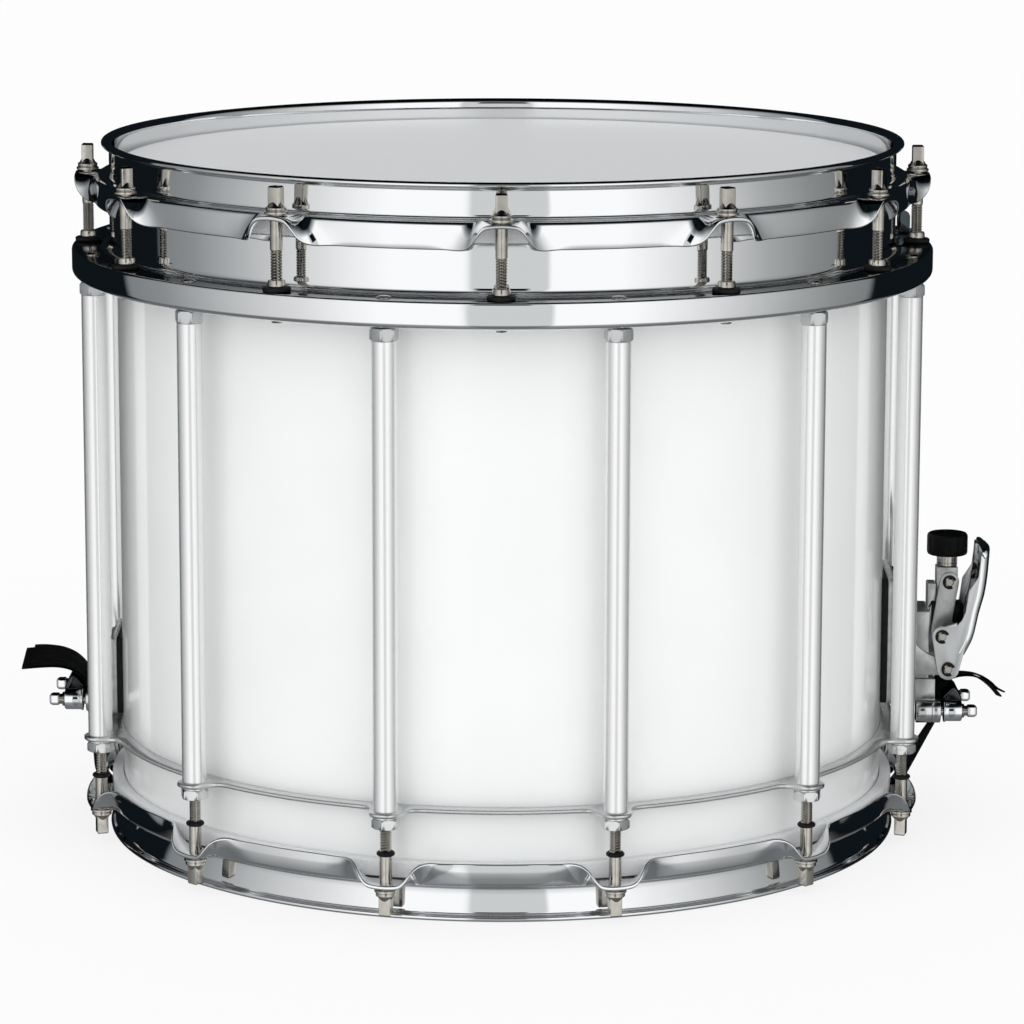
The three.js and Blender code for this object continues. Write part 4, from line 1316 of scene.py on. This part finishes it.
# The drive's steps along the screw: distance from the head's start, and how far the sides stand in
CLAMP_STEPS = ((2.2, 0.5), (2.6, 0), (5.2, 0), (5.8, 0.2), (6.4, 0.6), (6.8, 1.2))
LIP_HALF = 9.6
JAW_LIP = [(0, 3.5), (0, 4.9), (4.3, 9.3), (5.7, 9.8), (7.4, 8.2), (9.5, 3.9), (8.7, 1)]
BETWEEN_SCREWS = (-SCREW_SPREAD, SCREW_SPREAD)


def boss(radius, start, end, chamfer=0.5):
    """The same round boss about each clamp screw, lying along x at height zero."""

    def make(side):
        return peg(radius, start, end, "x", (side * SCREW_SPREAD, 0), chamfer, 48)

    return both_sides(make)


def seat_boss(start, end):
    """The fixed half's boss, with a parting groove near the middle."""
    middle = (start + end) / 2 + 1.6
    return joined(
        boss(SEAT_BOSS, start, middle - 0.1, 0.35),
        boss(SEAT_BOSS, middle + 0.1, end, 0.35),
        boss(SEAT_BOSS - 0.4, start, end - 0.2),
    )


def jaw_form(near):
    """The moving half: two bosses, each with a flange, and the bar between them."""
    return joined(
        boss(JAW_BOSS, near, near + 8.6, 0.8),
        boss(JAW_BOSS + 0.4, near, near + 0.9, 0.2),
        block((near, near + 4.2), BETWEEN_SCREWS, (-BAR_HALF, BAR_HALF), 0.8, "y", 0.3),
    )


def lip_form(near):
    """The jaw's lip, which the tape is folded over."""
    outline = rounded([(near + u, w, 0.7) for u, w in JAW_LIP], 3)
    return plate(outline, -LIP_HALF, LIP_HALF, 1.4)


def clamp_screw(near, side):
    """A drum-key screw along x: its neck with a collar, and its waisted square drive."""
    start = near + SCREW_START
    at = (side * SCREW_SPREAD, 0)
    collar = [(2.9, start - 0.2), (3.3, start), (3.3, start + 0.7), (2.6, start + 1)]
    neck = turned([(2.4, near - 8), (2.4, start + 2.4)], 32, "x", at)
    outline = square(CLAMP_DRIVE / 2, 1.7, 5)
    drive = []
    for depth, back in CLAMP_STEPS:
        drive.append([(start + depth, at[0] + u, w) for u, w in inset(outline, back)])
    return joined(neck, turned(collar, 40, "x", at)), skin(drive)


def clamp(stem, screws, place, body="drum", turn=0):
    """A clamp's jaw and its two screws, at a distance out from the drum's axis and a height."""
    near = place[0] + JAW_GAP
    lift = (0, 0, place[1])
    bar = moved(jaw_form(near), lift, turn)
    lip = moved(lip_form(near), lift, turn)
    # The lip's dark grey is a painted reflection of the dark overhead
    piece(f"{stem}_jaw", [(bar, CHROME), (lip, LIP_PAINTED_DARK)], body, [f"{stem}_clamp"], "chrome")
    # A half turn brings the far side to the front
    front = 1 if turn else -1
    for side, where in ((front, "front"), (-front, "rear")):
        neck, drive = clamp_screw(near, side)
        piece(
            f"{stem}_drive_{where}",
            [(moved(neck, lift, turn), STEEL), (moved(drive, lift, turn), CHROME)],
            f"{screws}_{where}_body",
            [f"{stem}_screw_{where}"],
            "chrome",
        )


SEAT_BACK = 193.7
SEAT_FRONT = 203.3
SEAT_HALF = 12.3


def strainer_carriage_form(height):
    """The strap carriage: its tongue in the guide, the column, and the clamp's seat."""
    tongue = rounded(
        [
            (199.3, 112.6, 0.7),
            (SEAT_FRONT, 112.6, 0.7),
            (SEAT_FRONT, 104, 0.2),
            (201.4, 104, 0.2),
            (201.4, 90.1, 0.2),
            (211.8, 90.1, 0.8),
            (211.8, 79.5, 0.8),
            (196, 79.5, 0.2),
            (196, 100.4, 0.2),
            (199.3, 100.4, 2.5),
        ],
        4,
    )

    def wing(side):
        limits = span(side * 11.1, side * SEAT_HALF)
        return block((187.2, 193.3), limits, (height - 3, 69.4), 0.6, "y", 0.4)

    column = (-SEAT_HALF, SEAT_HALF)
    bar = (height - BAR_HALF, height + BAR_HALF)
    return joined(
        block((SEAT_BACK, 199.9), column, (68.8, 100.8), 0.9, "y", 0.5),
        plate(tongue, -YOKE_HALF, YOKE_HALF, 0.4),
        block((SEAT_BACK, 203.1), column, (height, 68.6), 0.6, "y", 0.5),
        both_sides(wing),
        block((SEAT_BACK, STRAINER_CLAMP[0]), BETWEEN_SCREWS, bar, 0.5, "y", 0.3),
    )


x, z = STRAINER_CLAMP
# A black rubber strip behind the link: painted shade standing in for the dark gap between the
# casting and the link
painted_shadow_strip = block((201.5, SEAT_FRONT), (-YOKE_HALF, YOKE_HALF), (90.3, 103.8), 0.3, "y", 0.2)
piece(
    "strainer_carriage",
    [
        (strainer_carriage_form(z), CAST),
        (moved(seat_boss(SEAT_BACK, x), (0, 0, z)), POLISHED),
        (painted_shadow_strip, RUBBER),
    ],
    "carriage",
    ["strap_carriage"],
    "cast_aluminium",
)
clamp("strainer", "clamp_screw", STRAINER_CLAMP, "carriage")

# Butt: the same clamp, fixed to the shell on the far side

BUTT_PLATE = 182.4
BUTT_SEAT = 182


def butt_bolt(y, height):
    """A mounting bolt's head on the butt's plate."""
    return hexagon(BOLT_FLATS, BUTT_PLATE - 0.2, BUTT_PLATE + 2.2, 0.5, 48, "x", (y, height + 24))


def butt_form(face, height):
    """The butt's plate with its bolts, and the seat out to the clamp's face."""
    return joined(
        block((PLATE_BACK, BUTT_PLATE), (-22, 22), (height - 6.5, height + 31), 3.5, "x", 0.8),
        block((BUTT_SEAT, face), BETWEEN_SCREWS, (height - 5, height + 5), 0.5, "y", 0.3),
        butt_bolt(14, height),
        butt_bolt(-14, height),
    )


x, z = BUTT_CLAMP
gasket = block(GASKET, (-21.6, 21.6), (z - 6.1, z + 30.6), 3.5, "x", 0.3)
piece(
    "butt_bracket",
    [
        (moved(butt_form(x, z), turn=180), CAST),
        (moved(seat_boss(BUTT_SEAT, x), (0, 0, z), 180), POLISHED),
        (moved(gasket, turn=180), RUBBER),
    ],
    replaces=["butt_body"],
    slot="cast_aluminium",
)
clamp("butt", "butt_screw", BUTT_CLAMP, turn=180)

# Straps: woven tape from the snare unit out through the gate, up to the clamp and over it

TAPE_WIDTH = 24
TAPE_THICKNESS = 0.9
LAYER_LIFT = 1.15
# The share of its thickness that the tape's selvedge loses, and how close to the edge it does
SELVEDGE = 0.55
SELVEDGE_POWER = 8
TAPE_STEPS = 4
# Places along a tape: millimetres out from the shell, height, how far the front edge stands up
GATE = [(-5, 8.1, 0), (-1.6, 8.3, 0), (2.4, 9.9, 0), (6.2, 13.2, 0), (9.4, 17.2, 0)]
GATE += [(11.8, 21.2, 0)]
STRAINER_RISE = [(13.7 + 2.4 * k, 25 + 4.2 * k, 0.44 * k) for k in range(6)]
STRAINER_FOLD = [
    (27.4, 49.2, 2.3),
    (28.15, 52.6, 2.2),
    (28.15, 57.4, 1.4),
    (27.3, 60.6, 0.7),
    (27.5, 63, 0.4),
    (29.2, 65.2, 0.6),
    (32.4, 66.8, 1.4),
    (36.6, 67.6, 2),
    (41.4, 67.7, 2.3),
    (46, 66.8, 2.3),
    (50.4, 64.2, 2.3),
    (54, 60.9, 2.3),
    (56.6, 57.8, 2.3),
]
BUTT_RISE = [(13.2 + 0.6 * k, 25 + 6.4 * k, 0) for k in range(5)]
BUTT_FOLD = [
    (16.8, 53.4, 0),
    (17.15, 56, 0),
    (17.15, 63.6, 0),
    (17.9, 67, 0),
    (20.6, 70.4, -0.5),
    (24.6, 73.2, -1.1),
    (30.2, 74.9, -1.7),
    (37.3, 75.3, -2.2),
    (47, 74.6, -2.3),
]


def tape_form(route, side, lift=0.0, first=0, last=None):
    """A tape along a route on the +X side, from its first to its last place, and the length it
    takes. The side is -1 where it is turned half way round afterwards, and lift raises a second
    layer off the first."""
    path = smooth_path(route, TAPE_STEPS)
    start = first * TAPE_STEPS
    end = len(path) - 1 if last is None else last * TAPE_STEPS
    rings = []
    length = 0
    half = TAPE_THICKNESS / 2
    faces = [(1, share) for share in SPREAD] + [(-1, share) for share in reversed(SPREAD)]
    for i in range(start, end + 1):
        out, height, rise = path[i]
        before = path[max(i - 1, 0)]
        after = path[min(i + 1, len(path) - 1)]
        run = Vector((after.x - before.x, after.y - before.y)).normalized()
        if i > start:
            length += Vector((out - path[i - 1].x, height - path[i - 1].y)).length
        ring = []
        for face, share in faces:
            normal = lift + face * half * (1 - SELVEDGE * abs(share) ** SELVEDGE_POWER)
            x = SHELL_RADIUS + out - run.y * normal
            z = height + run.x * normal - rise * side * share
            ring.append((x, share * TAPE_WIDTH / 2, z))
        rings.append(ring)
    return skin(rings), length


def tape_piece(name, form, **places):
    """A tape's piece, with its finish."""
    return piece(name, [(form, WEBBING)], slot="webbing", sharp=60, **places)


# The strainer's tape is split where it starts to follow the carriage, half way up to the clamp
route = GATE + STRAINER_RISE + STRAINER_FOLD
split_place = len(GATE + STRAINER_RISE) - 1
form, length = tape_form(route, 1, last=split_place)
tape = tape_piece("strainer_tape_lower", form, body=None, replaces=["strainer_strap"])
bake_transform(tape)

form, length = tape_form(route, 1, first=split_place)
second, second_length = tape_form(STRAINER_FOLD[3:-1] + [(57.6, 58.9, 2.3)], 1, LAYER_LIFT)
tape = tape_piece("strainer_tape_tail", joined(form, second), body=None)
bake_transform(tape)

form, length = tape_form(GATE + BUTT_RISE + BUTT_FOLD, -1)
second, second_length = tape_form(BUTT_FOLD[3:-1] + [(43, 75.2, -2.2)], -1, LAYER_LIFT)
form = moved(joined(form, second), turn=180)
tape = tape_piece("butt_tape", form, replaces=["butt_strap"])

# Snare unit: twelve cables between two plates, under the lower head

CABLE_RADIUS = 0.6
CABLE_SPACING = 2.8
CABLE_COUNT = 12
CABLE_HALF = 161.5
CABLE_HEIGHT = 8.5


def snare_forms():
    """The cables, and the plate at each end of them."""
    strands = []
    for i in range(CABLE_COUNT):
        at = ((i - (CABLE_COUNT - 1) / 2) * CABLE_SPACING, CABLE_HEIGHT)
        strands.append(peg(CABLE_RADIUS, -CABLE_HALF, CABLE_HALF, "x", at, 0.1, 10))

    def end_plate(side):
        return block(span(side * 161, side * 172), (-18.4, 18.4), (7.1, 9.1), 1.5, "z", 0.3)

    return joined(*strands), both_sides(end_plate)


strands, ends = snare_forms()
piece("snare_cables", [(strands, GUT), (ends, MILLED)], replaces=["snare_unit"], slot="gut")

# Carrier tab on the ring's deck

TAB_LOW = RING_HIGH + 0.3
TAB_SHEET = 1.6
TAB_RADIUS = 3.1
TAB_REACH = 7.3
TAB_ANGLE = 10
upright = [(ROD_PITCH - TAB_RADIUS, TAB_LOW), (ROD_PITCH + TAB_RADIUS, TAB_LOW)]
upright += arc((ROD_PITCH, TAB_LOW + TAB_REACH), TAB_RADIUS, 0, 180, 14)
tab = joined(
    block((186.7, 195.7), (0, 8), (TAB_LOW, TAB_LOW + TAB_SHEET), 1, "z", 0.3),
    plate(upright, 0, TAB_SHEET, 0.3),
)
# The tab has the deck's dark base, a painted reflection of the dark overhead
tab_parts = [(moved(tab, turn=TAB_ANGLE), DECK_PAINTED_DARK)]
piece("carrier_catch", tab_parts, replaces=["carrier_tab"], slot="chrome")

# Camera, matched to the photograph
# The lens in millimetres, the camera's place over the floor, and how it is turned, in radians
LENS = 153.63
CAMERA_PLACE = (4.645, -2006.95, 534.04)
PITCH = 0.1913
ROLL = -0.0022
camera = bpy.data.cameras.new("camera")
camera.sensor_width = 36
camera.lens = LENS
camera.clip_start = 0.05
camera.clip_end = 50
viewer = bpy.data.objects.new("camera", camera)
bpy.context.scene.collection.objects.link(viewer)
rise = Vector((0, math.sin(PITCH), math.cos(PITCH)))
level = Vector((1, 0, 0))
right = level * math.cos(ROLL) - rise * math.sin(ROLL)
top = level * math.sin(ROLL) + rise * math.cos(ROLL)
ahead = Vector((0, math.cos(PITCH), -math.sin(PITCH)))
turn = Matrix((right, top, -ahead)).transposed().to_4x4()
viewer.matrix_world = Matrix.Translation(in_metres([CAMERA_PLACE])[0]) @ turn
bpy.context.scene.camera = viewer

# Floor: pale, seen nearly white, and it keeps the drum's shadow

# Half the floor's side and its gap under the drum, in metres
FLOOR_HALF = 6
FLOOR_GAP = 0.0002
floor_mesh = bpy.data.meshes.new("floor")
base = -PLAY_HEIGHT * MM - FLOOR_GAP
corners = [(x * FLOOR_HALF, y * FLOOR_HALF, base) for x, y in ((-1, -1), (1, -1), (1, 1), (-1, 1))]
floor_mesh.from_pydata(corners, [], [(0, 1, 2, 3)])
# The share of the floor's look that is lit, and so takes the drum's shadow
SHADOW = 0.2


def chosen(tree, which, off, on):
    """A mix of two shaders: the first where a factor is 0, the second where it is 1."""
    inputs = {"Fac": which, 1: off.outputs[0], 2: on.outputs[0]}
    return add(tree, "ShaderNodeMixShader", inputs)


floor = bpy.data.objects.new("floor", floor_mesh)
bpy.context.scene.collection.objects.link(floor)
floor.visible_glossy = False
pale = bpy.data.materials.new("pale_floor")
pale.use_nodes = True
tree = pale.node_tree
tree.nodes.clear()
seen = add(tree, "ShaderNodeEmission", {"Color": srgb("ffffff"), "Strength": 1.0})
lit = add(tree, "ShaderNodeBsdfDiffuse", {"Color": srgb("f4f4f4")})
mix = chosen(tree, SHADOW, seen, lit)
to_camera = add(tree, "ShaderNodeLightPath").outputs["Is Camera Ray"]
choice = chosen(tree, to_camera, lit, mix)
add(tree, "ShaderNodeOutputMaterial", {"Surface": choice.outputs[0]})
floor_mesh.materials.append(pale)

# Studio: white panels round the front, dark behind and overhead, seen by what is glossy, while
# matt surfaces take an even soft light and the camera a white backdrop

# Strengths of the panels and of the even light
PANEL_LIGHT = 1.15
SOFT_LIGHT = 1.44
world = bpy.data.worlds.new("studio")
bpy.context.scene.world = world
world.use_nodes = True
tree = world.node_tree
tree.nodes.clear()
DARK = "0e1418"
WHITE = "ffffff"
BLACK = "000000"
# Limits in degrees of a dark patch among the panels, straight in front
PATCH_LOW = 8
PATCH_HIGH = 32
PATCH_HALF = 7
direction = add(tree, "ShaderNodeTexCoord").outputs["Generated"]
axes = add(tree, "ShaderNodeSeparateXYZ", {"Vector": direction})


def sum_of(operation, *values):
    """One step of arithmetic on sockets or numbers, as a socket."""
    return add(tree, "ShaderNodeMath", dict(enumerate(values)), operation=operation).outputs[0]


toward = sum_of("MULTIPLY", axes.outputs["Y"], -1.0)
heading = sum_of("ARCTAN2", axes.outputs["X"], toward)
climb = sum_of("ARCSINE", axes.outputs["Z"])


def by_angle(angle, half_range, *stops):
    """A ramp over an angle, with stops from (degrees, hex code)."""
    limit = math.radians(half_range)
    inputs = {"Value": angle, "From Min": -limit, "From Max": limit}
    share = add(tree, "ShaderNodeMapRange", inputs).outputs[0]
    return ramp(tree, share, [((degrees / half_range + 1) / 2, code) for degrees, code in stops])


def blended(kind, first, second):
    """Two colours blended in full."""
    inputs = {0: 1.0, 6: first, 7: second}
    return add(tree, "ShaderNodeMix", inputs, data_type="RGBA", blend_type=kind).outputs[2]


def glow(colour, strength):
    """A background of one strength."""
    return add(tree, "ShaderNodeBackground", {"Color": colour, "Strength": strength})


walls = by_angle(
    heading,
    180,
    (-118, DARK),
    (-115, "7c8082"),
    (-99, "8b8e90"),
    (-83, "acaeaf"),
    (-68, "c8c9ca"),
    (-54, "dcdddd"),
    (-42, "f2f2f2"),
    (-32, WHITE),
    (-10, WHITE),
    (-9.3, "ced0cf"),
    (13, "ced0cf"),
    (13.6, WHITE),
    (34, WHITE),
    (54, "e0e1e1"),
    (70, "c0c1c1"),
    (82, "a5a7a7"),
    (98, "8b8d8d"),
    (112, "7c7f80"),
    (115, DARK),
)
ceiling = by_angle(climb, 90, (-90, WHITE), (32, WHITE), (43, "9a9fa3"), (54, DARK), (90, DARK))
low_walls = by_angle(
    climb,
    90,
    (-90, "707274"),
    (-45, "86888a"),
    (-30, "a4a6a7"),
    (-20, WHITE),
    (90, WHITE),
)
floor_glow = by_angle(climb, 90, (-90, "707274"), (-32, "66686a"), (-22, BLACK), (90, BLACK))
patch_across = by_angle(
    heading,
    180,
    (-PATCH_HALF - 1, WHITE),
    (-PATCH_HALF, DARK),
    (PATCH_HALF, DARK),
    (PATCH_HALF + 1, WHITE),
)
patch_up = by_angle(
    climb,
    90,
    (PATCH_LOW - 1, WHITE),
    (PATCH_LOW, DARK),
    (PATCH_HIGH, DARK),
    (PATCH_HIGH + 1, WHITE),
)
panels = blended("MULTIPLY", blended("MULTIPLY", walls, ceiling), low_walls)
panels = blended("MULTIPLY", panels, blended("LIGHTEN", patch_across, patch_up))
panels = blended("LIGHTEN", panels, floor_glow)
soft_box = by_angle(
    heading,
    180,
    (-180, "e0e0e0"),
    (-110, "c8c8c8"),
    (-70, "d2d2d2"),
    (-40, WHITE),
    (40, WHITE),
    (70, "d2d2d2"),
    (110, "c8c8c8"),
    (180, "e0e0e0"),
)
rays = add(tree, "ShaderNodeLightPath").outputs
lit = chosen(tree, rays["Is Diffuse Ray"], glow(panels, PANEL_LIGHT), glow(soft_box, SOFT_LIGHT))
choice = chosen(tree, rays["Is Camera Ray"], lit, glow(srgb(WHITE), 1.0))
add(tree, "ShaderNodeOutputWorld", {"Surface": choice.outputs[0]})

bpy.context.scene.view_settings.view_transform = "Standard"
